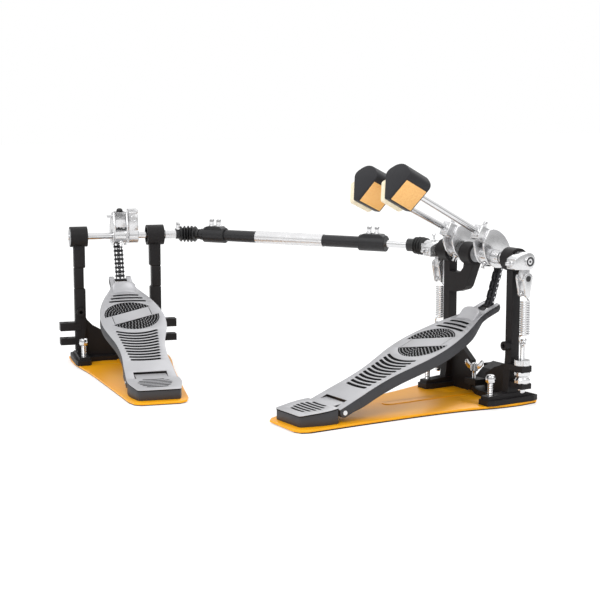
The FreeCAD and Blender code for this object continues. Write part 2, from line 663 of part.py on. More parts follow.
def tensionRod(x):
    eye = fuse(rod(3, s.hookBottom - 3 - 20, (x, 0, 20)), rod(5.5, 5, (x, -2.5, s.hookBottom), "y"))
    stud = cut(eye, rod(s.wireRadius + s.eyeSlack, 12, (x, -6, s.hookBottom), "y"))
    stack = ((s.nutRadius, 56, 63), (s.nutRadius + 0.5, 33, 48), (4.6, 21, 26))
    nuts = [ring(r, 3.02, b - a, (x, 0, a), "z") for r, a, b in stack]
    return [stud] + nuts


def biarc(p0, t0, p1, t1):
    # Two arcs in space from one point and tangent to another
    v = p1 - p0
    t = t0 + t1
    k = 2 * (1 - t0.dot(t1))
    d = (-(v.dot(t)) + math.sqrt(v.dot(t) ** 2 + k * v.dot(v))) / k
    middle = (p0 + p1 + (t0 - t1) * d) * 0.5
    return [arcFrom(p0, t0, middle), arcFrom(p1, t1 * -1, middle)]


def arcFrom(start, tangent, end):
    chord = end - start
    side = chord - tangent * chord.dot(tangent)
    normal = side * (1 / side.Length)
    radius = chord.dot(chord) / (2 * chord.dot(normal))
    centre = start + normal * radius
    sweep = 2 * math.atan2(chord.dot(normal), chord.dot(tangent))
    half = sweep / 2
    middle = centre + tangent * (radius * math.sin(half)) - normal * (radius * math.cos(half))
    return (start, middle, end)


def springShape(x):
    r = s.springRadius.value
    pitch = s.springPitch.value
    turnsAll = s.springTurns.value
    bend = s.hookBend.value
    riseBy = s.hookRise.value
    low = s.springBottom.value
    axisX = x + bend
    quarter = int(round(turnsAll * 4))

    def onCoil(k):
        angle = -math.pi / 2 + k * math.pi / 2
        return FreeCAD.Vector(axisX + r * math.cos(angle), r * math.sin(angle), low + pitch * k / 4)

    def along(k):
        angle = -math.pi / 2 + k * math.pi / 2
        t = FreeCAD.Vector(-r * math.sin(angle), r * math.cos(angle), pitch / (2 * math.pi))
        return t.normalize()

    up = FreeCAD.Vector(0, 0, 1)
    edges = []

    def addArcs(arcs):
        first, second = arcs
        edges.append(Part.Arc(first[0], first[1], first[2]).toShape())
        edges.append(Part.Arc(second[2], second[1], second[0]).toShape())

    start = onCoil(0)
    corner1 = FreeCAD.Vector(x, -r, low - bend)
    foot1 = FreeCAD.Vector(x, -r, low - bend - riseBy)
    tip = FreeCAD.Vector(x, r, low - bend - riseBy)
    bottom = FreeCAD.Vector(x, 0, low - bend - riseBy - r)
    edges.append(Part.Arc(tip, bottom, foot1).toShape())
    edges.append(Part.makeLine(foot1, corner1))
    addArcs(biarc(corner1, up, start, along(0)))
    for k in range(quarter):
        addArcs(biarc(onCoil(k), along(k), onCoil(k + 1), along(k + 1)))
    end = onCoil(quarter)
    corner2 = FreeCAD.Vector(x, end.y, end.z + bend)
    foot2 = FreeCAD.Vector(x, end.y, end.z + bend + riseBy)
    tip2 = FreeCAD.Vector(x, -end.y, end.z + bend + riseBy)
    top = FreeCAD.Vector(x, 0, end.z + bend + riseBy + r)
    addArcs(biarc(end, along(quarter), corner2, up))
    edges.append(Part.makeLine(corner2, foot2))
    edges.append(Part.Arc(foot2, top, tip2).toShape())
    path = Part.Wire(edges)
    circle = Part.Wire(Part.makeCircle(s.wireRadius.value, tip, FreeCAD.Vector(0, 0, -1)))
    tube = path.makePipeShell([circle], True, False)
    points = []
    length = 0
    for edge in path.OrderedEdges:
        found = edge.discretize(Number=7)
        if (found[0] - points[-1][1]).Length > (found[-1] - points[-1][1]).Length if points else False:
            found = list(reversed(found))
        for a in found:
            length += (a - points[-1][1]).Length if points else 0
            points.append((length, a))
    least = 1e9
    for i, (la, a) in enumerate(points):
        for lb, b in points[i + 1:]:
            if lb - la > 6:
                least = min(least, (a - b).Length - 2 * s.wireRadius.value)
    print("least gap between the spring's own turns %.2f" % least)
    if tube.ShapeType != "Solid":
        tube = Part.Solid(tube) if tube.ShapeType == "Shell" else tube.Solids[0]
    return tube


for word, x in (("main", s.rockerX), ("second", -s.secondRockerX)):
    node(word + "_rocker_arm", rocker(x))
    node(word + "_spring_link", springLink(x))
    node(word + "_spring", feature(springShape(x.value)))
node("spring_tensioners", group(*(tensionRod(s.rockerX) + tensionRod(-s.secondRockerX))))

# Key bolts and pins on the axles
def linkPin(x):
    return rod(s.linkPinRadius, 18, (x - 9, 0, s.pivotHeight), "x")


def keyBolt(x, y, z, axis="y", reach=9):
    if axis == "y":
        return fuse(rod(3.6, 3, (x, y - 3, z), "y"),
                    block((x - 2.2, y - reach, z - 2.2), (x + 2.2, y - 3, z + 2.2)))
    return fuse(rod(3.6, 3, (x, y, z)), block((x - 2.2, y - 2.2, z + 3), (x + 2.2, y + 2.2, z + reach)))


def hubBolt(x, lean, offset):
    face = offset + s.gripHalf
    item = fuse(rod(3.4, 3, (0, face, 27), "y"), block((-2, face + 3, 25), (2, face + 8, 29)))
    leanBack(item, (x, 0, zA), lean)
    return group(item)


node("main_axle_bolts", group(linkPin(s.rockerX), keyBolt(s.rockerX, -22, zA - 1),
                              hubBolt(0, s.lean, s.rodOffset)))
node("second_axle_bolts", group(linkPin(-s.secondRockerX), keyBolt(-s.secondRockerX, -22, zA - 1),
                                hubBolt(-s.secondX, s.secondLean, s.rodOffset)))
plug = fuse(rod(s.rodRadius - 0.05, 10, (0, s.slaveOffset, zA + s.gripTop - 10)),
            rod(s.rodRadius + 0.7, 5, (0, s.slaveOffset, zA + s.gripTop)))
driveMiddle = (s.driveLow + s.driveHigh) / 2
blockBolts = [keyBolt(driveMiddle, -s.driveDepth, zA + 27), keyBolt(driveMiddle, -s.driveDepth, zA + 13)]
node("slave_axle_bolts", group(group(plug), hubBolt(0, 0, s.slaveOffset), *blockBolts), "slave")


# Beaters with three-sided heads: a rubber face that strikes, a wood face and a felt face
def facePoint(along, out, side):
    x = s.backHalf + sine(s.faceSlant) * along + cosine(s.faceSlant) * out
    y = cosine(s.faceSlant) * along - sine(s.faceSlant) * out - s.backDrop
    return (side * x, y)


def facePad(margin, low, high, side):
    first, last = margin, s.faceWidth - margin
    corners = [(first, low), (last, low), (last, high), (first, high)]
    return profile([facePoint(along, out, side) for along, out in corners], "XY", -s.padHalf, 2 * s.padHalf)


def onHead(x, lean, shape):
    put(shape, (0, s.rodOffset, s.headReach))
    item = group(shape)
    leanBack(item, (x, 0, s.axleHeight), lean)
    return item


rodGrip = 14
rodStart = 22
woodMargin = 1.5
for word, x, lean in (("main", 0, s.lean), ("second", -s.secondX, s.secondLean)):
    stick = rod(s.rodRadius, s.headReach + rodGrip - rodStart, (0, s.rodOffset, rodStart))
    item = group(stick)
    leanBack(item, (x, 0, s.axleHeight), lean)
    node(word + "_beater_rod", item)
    shoulder = s.faceWidth + 8
    crown = [(21, s.strikeReach - 7), (12, s.strikeReach - 2), (0, s.strikeReach), (-12, s.strikeReach - 2),
             (-21, s.strikeReach - 7)]
    section = [facePoint(0, 0, 1), facePoint(shoulder, 0, 1)] + crown
    section += [facePoint(shoulder, 0, -1), facePoint(0, 0, -1)]
    shell = profile(section, "XY", -s.headHalf, 2 * s.headHalf)
    bore = rod(s.rodRadius + 0.02, s.headHalf + rodGrip + 1, (0, 0, -s.headHalf - 1))
    pocket = facePad(woodMargin, -s.woodThick, 1, 1)
    node(word + "_beater_head", onHead(x, lean, cut(shell, bore, pocket)))
    node(word + "_beater_wood", onHead(x, lean, facePad(woodMargin, -s.woodThick, 0, 1)))
    node(word + "_beater_felt", onHead(x, lean, facePad(0, 0, s.feltThick, -1)))


# Hoop clamp lever and its wing bolt
lever = [(-14, 17), (4, 17), (16, 25), (40, 26), (44, 20), (55, 20), (55, 27), (48, 38), (34, 43),
         (16, 36), (4, 25), (-14, 25)]
boltY = -7
node("hoop_clamp_lever", cut(profile(lever, "YZ", leverX - 11, 22),
                             rod(3 + s.runFit, 40, (leverX - 20, 31, 34), "x"),
                             rod(3 + s.runFit, 40, (leverX, boltY, 5))))
wing = [rod(3, 19.8, (leverX, boltY, s.plateTop + 11.2)), rod(5, 8, (leverX, boltY, 35.5)),
        block((leverX - 13, boltY - 1.6, 37), (leverX + 13, boltY + 1.6, 49))]
node("hoop_wing_bolt", cut(fuse(*wing), block((leverX - 4, boltY - 3, 44), (leverX + 4, boltY + 3, 60))))


# Universal joint yokes on the axles
def yoke(centre, sign):
    def span(a, b):
        first, last = (a, b) if sign > 0 else (b, a)
        return (centre + sign * first, centre + sign * last)

    def bar(radius, a, b):
        low, high = span(a, b)
        return rod(radius, high - low, (low, 0, s.axleHeight), "x")

    low, high = span(-s.forkLap, 11)
    solids = [bar(9.5, 20, 36), bar(s.stubRadius, 8, 20), ball(2.6, (centre, 0, s.axleHeight)),
              rod(1.1, 2 * s.forkOuter, (centre, 0, s.axleHeight - s.forkOuter))]
    for z0, z1 in ((s.forkInner, s.forkOuter), (-s.forkOuter, -s.forkInner)):
        solids.append(block((low, -s.forkHalf, s.axleHeight + z0), (high, s.forkHalf, s.axleHeight + z1)))
    low, high = span(15, 40)
    hole = rod(s.axleRadius + 0.02, high - low, (low, 0, s.axleHeight), "x")
    low, high = span(24, 32)
    clamp = block((low, -15, s.axleHeight - 6), (high, 0, s.axleHeight + 6))
    return cut(fuse(*(solids + [clamp])), hole)


node("second_yoke", yoke(-s.ujMain, 1))
node("slave_yoke", group(yoke(s.ujSlave, -1)), "slave")

# Drive shaft, in a frame whose X runs from the main joint to the slave joint
L = s.shaftLength


def ears(centre, sign):
    low, high = (centre - s.forkLap, centre + 11) if sign > 0 else (centre - 11, centre + s.forkLap)
    base = centre + 8 if sign > 0 else centre - 12
    solids = [rod(s.stubRadius, 4, (base, 0, 0), "x")]
    for y0, y1 in ((s.forkInner, s.forkOuter), (-s.forkOuter, -s.forkInner)):
        solids.append(block((low, y0, -s.forkHalf), (high, y1, s.forkHalf)))
    return solids


rodParts = ears(0, 1) + [rod(s.shaftRodRadius, 115, (10, 0, 0), "x"),
                         rod(s.stubRadius, 7.5, (11, 0, 0), "x")]
node("shaft_rod", group(fuse(*rodParts)), "shaft")
tubeBore = rod(s.shaftRodRadius + s.runFit, 220, (45, 0, 0), "x")
tube = cut(rod(s.tubeRadius, L - 20 - 50, (50, 0, 0), "x"), tubeBore)
node("shaft_tube", group(fuse(*(ears(L, -1) + [tube, rod(s.stubRadius, 14, (L - 25, 0, 0), "x")]))),
     "shaft")
node("shaft_sleeve", group(ring(s.sleeveRadius, s.tubeRadius + 0.02, L - 263, (148, 0, 0), "x")), "shaft")
collars = []
bolts = []
for a, b in ((50, 91), (L - 63, L - 20)):
    b = asSize(b)
    a = asSize(a)
    body = fuse(rod(s.collarRadius, b - a, (a, 0, 0), "x"),
                web([(a + 4, 0), (b - 4, 0), (b - 10, 15.5), (a + 10, 15.5)], -5, 10))
    collars.append(cut(body, rod(s.tubeRadius + 0.02, b - a + 20, (a - 10, 0, 0), "x")))
    for x in (a + 14, b - 14):
        bolts.append(fuse(rod(3, 2.5, (x, 0, 15.5)), block((x - 1.6, -1.6, 18), (x + 1.6, 1.6, 25))))
node("shaft_collars", group(*collars), "shaft")
node("shaft_bolts", group(*bolts), "shaft")


# Ribbed boots over the joints, on a bent centre line
def bootShape(centre, first, second):
    ribs = 6
    half = s.bootHalf.value
    low = s.bootRadius.value - 2.0
    high = s.bootRadius.value
    ends = (centre + first * half, centre + second * half)

    def ringAt(k, radius):
        point = ends[0] * ((1 - k) ** 2) + centre * (2 * k * (1 - k)) + ends[1] * (k * k)
        tangent = (centre - ends[0]) * (2 * (1 - k)) + (ends[1] - centre) * (2 * k)
        tangent.normalize()
        side = zAxis.cross(tangent)
        frame = FreeCAD.Rotation(zAxis, side, tangent, "XZY")
        circle = Part.makeCircle(radius)
        circle.Placement = FreeCAD.Placement(point, frame)
        return Part.Wire(circle)

    outer = []
    for rib in range(ribs):
        for part, radius in ((0.04, low), (0.3, high), (0.62, high), (0.9, low)):
            outer.append(ringAt((rib + part) / ribs, radius))
    bore = s.bootBore.value
    lip = s.stubRadius.value + 0.7
    cap = [ringAt(0.0, low)] + outer + [ringAt(1.0, low)]
    body = Part.makeLoft(cap, True, True)
    wall = ((-0.05, lip), (0.06, lip), (0.1, bore), (0.5, bore), (0.9, bore), (0.94, lip), (1.05, lip))
    inner = [ringAt(share, radius) for share, radius in wall]
    hollow = Part.makeLoft(inner, True, True)
    return body.cut(hollow)


mainJoint = FreeCAD.Vector(-s.ujMain.value, 0, s.axleHeight.value)
yaw = math.radians(s.shaftYaw.value)
slaveTurn = math.radians(s.slaveYaw.value)
toSlave = FreeCAD.Vector(-math.cos(yaw), -math.sin(yaw), 0)
slaveAxis = FreeCAD.Vector(math.cos(slaveTurn), math.sin(slaveTurn), 0)
slaveJoint = mainJoint + toSlave * L.value
node("main_boot", feature(bootShape(mainJoint, xAxis, toSlave)))
node("slave_boot", feature(bootShape(slaveJoint, slaveAxis * -1, toSlave * -1)))

doc.recompute()
bad = []
for item in doc.Objects:
    if "Invalid" in item.State or "Error" in item.State:
        bad.append("%s state %s" % (item.Label, item.State))
for item in nodes:
    shape = item.Shape
    if shape.isNull() or not shape.isValid() or not shape.Solids:
        bad.append("%s shape" % item.Label)
if bad:
    raise RuntimeError("; ".join(bad))
os.makedirs("parts", exist_ok=True)
for item in nodes:
    item.Shape.exportStep("parts/%s.step" % item.Label)
print("%d nodes" % len(nodes))
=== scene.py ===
import math

import bmesh
import bpy
from mathutils import Matrix, Vector


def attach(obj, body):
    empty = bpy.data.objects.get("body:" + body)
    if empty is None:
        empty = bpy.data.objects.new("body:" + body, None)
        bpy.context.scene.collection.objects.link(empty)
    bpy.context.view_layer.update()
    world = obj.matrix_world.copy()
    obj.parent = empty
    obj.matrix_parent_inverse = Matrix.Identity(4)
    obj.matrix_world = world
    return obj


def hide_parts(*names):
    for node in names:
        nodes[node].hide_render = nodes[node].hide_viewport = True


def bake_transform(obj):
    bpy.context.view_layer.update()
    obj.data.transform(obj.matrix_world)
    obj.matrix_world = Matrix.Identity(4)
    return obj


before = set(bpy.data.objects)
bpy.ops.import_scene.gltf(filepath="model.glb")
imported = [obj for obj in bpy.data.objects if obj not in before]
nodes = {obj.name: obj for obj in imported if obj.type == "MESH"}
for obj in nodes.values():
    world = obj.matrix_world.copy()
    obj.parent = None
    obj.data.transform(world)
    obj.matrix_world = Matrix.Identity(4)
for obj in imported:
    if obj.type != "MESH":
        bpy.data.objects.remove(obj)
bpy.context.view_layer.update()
scene = bpy.context.scene
scene.view_settings.view_transform = "Standard"
mm = 0.001
print("frame loaded with", len(nodes), "nodes")


# places, in millimetres
def shift(x, y, z):
    return Matrix.Translation((x, y, z))


def turn(degrees, axis):
    return Matrix.Rotation(math.radians(degrees), 4, axis)


layout = {"axle": 190, "bore": 5.1, "joint": 152, "slaveJoint": 107, "shaft": 372, "shaftYaw": 31, "slaveYaw": 74,
          "hingeBack": 249.5, "hingeHeight": 17, "slope": 22.2, "lean": 62.3, "secondLean": 64.3,
          "rodOffset": 19, "headReach": 165, "secondX": -64, "plateTop": 4.5}
shaftYaw = math.radians(layout["shaftYaw"])
slaveYaw = math.radians(layout["slaveYaw"])
slaveX = -layout["joint"] - layout["shaft"] * math.cos(shaftYaw) - layout["slaveJoint"] * math.cos(slaveYaw)
slaveY = -layout["shaft"] * math.sin(shaftYaw) - layout["slaveJoint"] * math.sin(slaveYaw)
pedals = {"main": Matrix(), "slave": shift(slaveX, slaveY, 0) @ turn(layout["slaveYaw"], "Z")}
shaftPlace = shift(-layout["joint"], 0, layout["axle"]) @ turn(180 + layout["shaftYaw"], "Z")
boardPlace = shift(0, -layout["hingeBack"], layout["hingeHeight"]) @ turn(layout["slope"], "X")
alongX = Matrix(((0, 0, 1, 0), (1, 0, 0, 0), (0, 1, 0, 0), (0, 0, 0, 1)))  # outline in YZ, thickness along X


def hubPlace(x):
    # the second beater leans a little more than the first
    lean = layout["secondLean"] if x == layout["secondX"] else layout["lean"]
    return shift(x, 0, layout["axle"]) @ turn(lean, "X")


def headPlace(x):
    return hubPlace(x) @ shift(0, layout["rodOffset"], layout["headReach"])


# shading
def paint(red, green, blue):
    def line(c):
        c = c / 255
        return c / 12.92 if c <= 0.04045 else ((c + 0.055) / 1.055) ** 2.4
    return (line(red), line(green), line(blue), 1)


class Wire:
    # a node output that takes part in sums
    def __init__(self, finish, socket):
        self.finish = finish
        self.socket = socket

    def sum(self, operation, other):
        return self.finish.node("ShaderNodeMath", {"operation": operation}, {0: self, 1: other})

    def __add__(self, other):
        return self.sum("ADD", other)

    def __sub__(self, other):
        return self.sum("SUBTRACT", other)

    def __mul__(self, other):
        return self.sum("MULTIPLY", other)

    def __gt__(self, other):
        return self.sum("GREATER_THAN", other)

    __radd__ = __add__
    __rmul__ = __mul__


class Tree:
    # makes and joins the nodes of one material or world
    def __init__(self, owner):
        owner.use_nodes = True
        self.tree = owner.node_tree

    def feed(self, target, value):
        if isinstance(value, Wire):
            self.tree.links.new(value.socket, target)
        else:
            target.default_value = value

    def node(self, kind, settings=None, sockets=None, output=0):
        made = self.tree.nodes.new(kind)
        for key, value in (settings or {}).items():
            if key == "stops":
                ramp = made.color_ramp.elements
                while len(ramp) < len(value):
                    ramp.new(0.5)
                for stop, (position, colour) in zip(ramp, value):
                    stop.position = position
                    stop.color = colour
            else:
                setattr(made, key, value)
        for key, value in (sockets or {}).items():
            self.feed(made.inputs[key], value)
        return Wire(self, made.outputs[output])


class Finish(Tree):
    def __init__(self, name, **values):
        self.material = bpy.data.materials.new(name)
        super().__init__(self.material)
        self.surface = self.tree.nodes["Principled BSDF"]
        for key, value in values.items():
            self.surface.inputs[key.replace("_", " ")].default_value = value
        self.place = self.node("ShaderNodeTexCoord", output=3)

    def set(self, socket, value):
        self.feed(self.surface.inputs[socket], value)

    def noise(self, scale, detail=2, vector=None):
        return self.node("ShaderNodeTexNoise", None,
                         {"Vector": vector or self.place, "Scale": scale, "Detail": detail})

    def stretched(self, x, y, z, turned=(0, 0, 0)):
        return self.node("ShaderNodeMapping", None,
                         {"Vector": self.place, "Scale": (x, y, z), "Rotation": turned})

    def mix(self, factor, first, second):
        return self.node("ShaderNodeMix", {"data_type": "RGBA"}, {0: factor, 6: first, 7: second}, 2)

    def relief(self, height, strength, distance, roundEdge=0):
        sockets = {"Height": height, "Strength": strength, "Distance": distance}
        if roundEdge:
            sockets["Normal"] = self.node("ShaderNodeBevel", {"samples": 4}, {"Radius": roundEdge})
        self.set("Normal", self.node("ShaderNodeBump", None, sockets))


def metalFinish(name, colour, rough, spread, grain=900, metallic=1.0, roundEdge=0.0005, relief=0.06):
    made = Finish(name, Metallic=metallic)
    cloud = made.noise(35, 3)
    fine = made.noise(grain, 2)
    darker = tuple(c * 0.82 for c in colour[:3]) + (1,)
    made.set("Base Color", made.mix(cloud, darker, colour))
    made.set("Roughness", rough + spread * (cloud - 0.5) + 0.5 * spread * (fine - 0.5))
    made.relief(fine, relief, 0.0003, roundEdge)
    return made.material


def powderFinish(name, colour, rough, grain=1400, relief=0.25, roundEdge=0.0006, worn=1.3, shine=0.5):
    made = Finish(name)
    made.surface.inputs["Specular IOR Level"].default_value = shine
    fine = made.noise(grain, 3)
    cloud = made.noise(22, 2)
    lighter = tuple(min(1, c * worn) for c in colour[:3]) + (1,)
    made.set("Base Color", made.mix(cloud, colour, lighter))
    made.set("Roughness", rough + 0.16 * (fine - 0.5) + 0.1 * (cloud - 0.5))
    made.relief(fine, relief, 0.0004, roundEdge)
    return made.material


def goldFinish():
    made = Finish("goldPlate", Metallic=0.1, Coat_Weight=0.12)
    made.surface.inputs["Specular IOR Level"].default_value = 0.35
    made.surface.inputs["Coat Roughness"].default_value = 0.25
    grain = made.noise(900, 2, made.stretched(1, 0.06, 1))
    cloud = made.noise(14, 2)
    made.set("Base Color", made.mix(cloud, paint(250, 164, 4), paint(255, 182, 14)))
    made.set("Roughness", 0.34 + 0.12 * (grain - 0.5) + 0.1 * (cloud - 0.5))
    made.relief(grain, 0.05, 0.0002)
    return made.material


def deckFinish():
    made = Finish("deckSilver", Metallic=0.55)
    blast = made.noise(1500, 3)
    cloud = made.noise(18, 3)
    made.set("Base Color", made.mix(cloud, paint(168, 168, 171), paint(196, 196, 199)))
    made.set("Roughness", 0.42 + 0.2 * (blast - 0.5) + 0.08 * (cloud - 0.5))
    made.relief(blast, 0.14, 0.0003)
    return made.material


def woodFinish():
    made = Finish("beaterWood", Coat_Weight=0.25)
    made.surface.inputs["Coat Roughness"].default_value = 0.3
    grain = made.noise(60, 4, made.stretched(1, 14, 14, (0.4, 0.2, 0.3)))
    pores = made.noise(900, 2, made.stretched(1, 0.2, 0.2))
    ramp = made.node("ShaderNodeValToRGB", {"stops": [(0.25, paint(236, 170, 92)), (0.55, paint(246, 190, 112)),
                                                      (0.8, paint(252, 206, 136))]}, {"Fac": grain})
    made.set("Base Color", made.mix(0.1 * (pores > 0.62), ramp, paint(214, 148, 78)))
    made.set("Roughness", 0.42 + 0.2 * (grain - 0.5))
    made.relief(grain + 0.4 * pores, 0.15, 0.0003)
    return made.material


def feltFinish():
    made = Finish("beaterFelt", Roughness=0.95, Sheen_Weight=0.4, Sheen_Roughness=0.5)
    fuzz = made.noise(1100, 5)
    cloud = made.noise(160, 3)
    made.set("Base Color", made.mix(cloud, paint(236, 218, 178), paint(255, 246, 224)))
    made.set("Roughness", 0.9 + 0.1 * fuzz)
    made.relief(fuzz + 0.6 * cloud, 0.7, 0.0008)
    return made.material


def rubberFinish(name, colour, rough=0.55, shine=0.5):
    made = Finish(name)
    made.surface.inputs["Specular IOR Level"].default_value = shine
    fine = made.noise(700, 3)
    cloud = made.noise(40, 2)
    lighter = tuple(c * 1.7 for c in colour[:3]) + (1,)
    made.set("Base Color", made.mix(cloud, colour, lighter))
    made.set("Roughness", rough + 0.14 * (fine - 0.5))
    made.relief(fine, 0.18, 0.0003)
    return made.material


finishes = {
    "gold": goldFinish(),
    "deck": deckFinish(),
    "skirt": powderFinish("skirtGrey", paint(54, 54, 57), 0.5, shine=0.35),
    "cast": powderFinish("castBlack", paint(27, 25, 26), 0.5, worn=1.2, shine=0.22),
    "tube": powderFinish("tubeBlack", paint(34, 34, 36), 0.38, relief=0.1, shine=0.35),
    "plastic": powderFinish("beaterBlack", paint(37, 37, 40), 0.5, relief=0.3, shine=0.25),
    "chrome": metalFinish("chromeParts", (0.80, 0.80, 0.81, 1), 0.14, 0.1),
    "polished": metalFinish("polishedHub", (0.79, 0.79, 0.80, 1), 0.22, 0.14, relief=0.1, metallic=0.85),
    "satin": metalFinish("satinSteel", (0.70, 0.70, 0.72, 1), 0.3, 0.12),
    "sleeve": metalFinish("sleeveSilver", (0.82, 0.82, 0.83, 1), 0.26, 0.1, metallic=0.6),
    "chain": metalFinish("chainBlack", (0.05, 0.05, 0.055, 1), 0.34, 0.16, metallic=0.75),
    "springWire": metalFinish("springWire", (0.78, 0.78, 0.79, 1), 0.2, 0.1, roundEdge=0),
    "boot": rubberFinish("bootRubber", paint(22, 22, 23), 0.42),
    "grip": rubberFinish("gripRubber", paint(22, 22, 23), 0.8, 0.05),
    "bearing": metalFinish("bearingSteel", (0.45, 0.45, 0.46, 1), 0.3, 0.1),
    "wood": woodFinish(),
    "felt": feltFinish(),
}
print("finishes made")


def each(words, *endings):
    return [word + ending for word in words for ending in endings]


boards = ("main_", "slave_")
beats = ("main_", "second_")
axles = ("main_", "second_", "slave_")
looks = {
    "gold": each(boards, "base_plate"),
    "grip": each(boards, "grip_sheet"),
    "cast": each(boards, "casting") + ["hoop_clamp_lever"],
    "skirt": each(boards, "heel_plate", "footboard"),
    "bearing": each(boards, "bearings"),
    "chrome": [*each(boards, "hinge_pin", "spurs"), *each(axles, "axle", "axle_bolts"),
               *each(beats, "beater_rod", "spring"), "spring_tensioners", "hoop_wing_bolt", "shaft_rod",
               "shaft_bolts"],
    "polished": [*each(axles, "cam_hub"), *each(beats, "rocker_arm", "spring_link"), "slave_drive_block",
                 "second_yoke", "slave_yoke"],
    "tube": ["shaft_tube", "shaft_collars"],
    "sleeve": ["shaft_sleeve"],
    "boot": each(boards, "boot"),
    "chain": each(boards, "chain_span", "chain_segment_1", "chain_segment_2", "cam_chain"),
    "plastic": each(beats, "beater_head"),
    "wood": each(beats, "beater_wood"),
    "felt": each(beats, "beater_felt"),
}
for finish, names in looks.items():
    for name in names:
        nodes[name].data.materials.clear()
        nodes[name].data.materials.append(finishes[finish])


# mesh helpers, in millimetres
def bevelEdges(bm, edges, width, segments=2):
    bmesh.ops.bevel(bm, geom=list(edges), offset=width, offset_type="OFFSET", affect="EDGES", segments=segments,
                    profile=0.5, material=-1, clamp_overlap=True)


def sharpEdges(bm, angle=30):
    limit = math.radians(angle)
    return [e for e in bm.edges if len(e.link_faces) == 2 and e.calc_face_angle(0) > limit]


def prism(points, low, high, edge=0, segments=2):
    bm = bmesh.new()
    face = bm.faces.new([bm.verts.new((x, y, low)) for x, y in points])
    made = bmesh.ops.extrude_face_region(bm, geom=[face])
    bmesh.ops.translate(bm, vec=(0, 0, high - low),
                        verts=[v for v in made["geom"] if isinstance(v, bmesh.types.BMVert)])
    bmesh.ops.recalc_face_normals(bm, faces=bm.faces)
    if edge:
        bevelEdges(bm, sharpEdges(bm), edge, segments)
    return bm


def boxShape(low, high, edge=0.5, segments=2):
    bm = bmesh.new()
    size = [b - a for a, b in zip(low, high)]
    middle = [(a + b) / 2 for a, b in zip(low, high)]
    bmesh.ops.create_cube(bm, size=1, matrix=shift(*middle) @ Matrix.Diagonal((*size, 1)))
    if edge:
        bevelEdges(bm, bm.edges[:], edge, segments)
    return bm


def lathe(points, steps=40):
    # outline of (radius, height) spun about Z
    bm = bmesh.new()
    verts = [bm.verts.new((r, 0, z)) for r, z in points]
    edges = [bm.edges.new(pair) for pair in zip(verts, verts[1:])]
    bmesh.ops.spin(bm, geom=verts + edges, cent=(0, 0, 0), axis=(0, 0, 1), angle=2 * math.pi, steps=steps,
                   use_merge=True, use_duplicate=False)
    bmesh.ops.remove_doubles(bm, verts=bm.verts, dist=0.0005)
    bmesh.ops.recalc_face_normals(bm, faces=bm.faces)
    return bm


def tube(bore, radius, low, high, edge=0.6):
    return lathe([(bore, low), (radius - edge, low), (radius, low + edge), (radius, high - edge),
                  (radius - edge, high), (bore, high)])


def disc(radius, low, high, steps=28, bore=0):
    return lathe([(bore, low), (radius, low), (radius, high), (bore, high)], steps)


def bothSides(low, high):
    return (low, high), (-high, -low)


def mirrored(right):
    # a whole outline from its right half
    return right + [(-x, y, kind) for x, y, kind in reversed(right)]


def flatPlate(outlines, low, high, edge=0.3, steps=5):
    # a filled flat curve: the first outline is the rim, the others are holes
    curve = bpy.data.curves.new("outline", "CURVE")
    curve.dimensions = "2D"
    curve.fill_mode = "BOTH"
    curve.resolution_u = steps
    curve.extrude = (high - low) / 2 - edge
    curve.bevel_depth = edge
    curve.bevel_resolution = 1
    curve.offset = -edge
    for points in outlines:
        spline = curve.splines.new("BEZIER")
        spline.bezier_points.add(len(points) - 1)
        for knot, (x, y, kind) in zip(spline.bezier_points, points):
            knot.co = (x, y, 0)
            knot.handle_left_type = kind
            knot.handle_right_type = kind
        spline.use_cyclic_u = True
    holder = bpy.data.objects.new("outline", curve)
    scene.collection.objects.link(holder)
    bpy.context.view_layer.update()
    flat = bpy.data.meshes.new_from_object(holder.evaluated_get(bpy.context.evaluated_depsgraph_get()))
    bm = bmesh.new()
    bm.from_mesh(flat)
    bpy.data.objects.remove(holder)
    bpy.data.curves.remove(curve)
    bpy.data.meshes.remove(flat)
    bmesh.ops.translate(bm, vec=(0, 0, (low + high) / 2), verts=bm.verts)
    bmesh.ops.remove_doubles(bm, verts=bm.verts, dist=0.002)
    bmesh.ops.recalc_face_normals(bm, faces=bm.faces)
    return bm


def sweep(path, radius, around=14):
    # a round section carried along a path, with one radius or one for each point
    bm = bmesh.new()
    path = [Vector(point) for point in path]
    radii = radius if isinstance(radius, list) else [radius] * len(path)
    side = (path[1] - path[0]).orthogonal()
    rings = []
    for k, point in enumerate(path):
        ahead = (path[min(k + 1, len(path) - 1)] - path[max(k - 1, 0)]).normalized()
        side = (side - ahead * side.dot(ahead)).normalized()
        angles = [2 * math.pi * n / around for n in range(around)]
        rings.append([bm.verts.new(point + (side * math.cos(a) + ahead.cross(side) * math.sin(a)) * radii[k])
                      for a in angles])
    for first, second in zip(rings, rings[1:]):
        for n in range(around):
            bm.faces.new((first[n - 1], first[n], second[n], second[n - 1]))
    bm.faces.new(rings[0])
    bm.faces.new(rings[-1])
    bmesh.ops.recalc_face_normals(bm, faces=bm.faces)
    return bm


def arc(radius, first, last, step, centre=(0, 0)):
    count = max(1, round(abs(last - first) / step))
    angles = [math.radians(first + (last - first) * k / count) for k in range(count + 1)]
    return [(centre[0] + radius * math.cos(a), centre[1] + radius * math.sin(a)) for a in angles]


def knurl(radius, low, high, teeth, depth):
    points = []
    for k in range(2 * teeth):
        a = math.pi * k / teeth
        r = radius - depth * (k % 2)
        points.append((r * math.cos(a), r * math.sin(a)))
    return prism(points, low, high)


def thread(radius, low, high, pitch=1.5, depth=0.5):
    outline = [(0, low)]
    count = int((high - low) / pitch)
    for k in range(count):
        outline += [(radius - depth, low + k * pitch), (radius, low + (k + 0.5) * pitch)]
    return lathe(outline + [(radius - depth, high), (0, high)], 24)


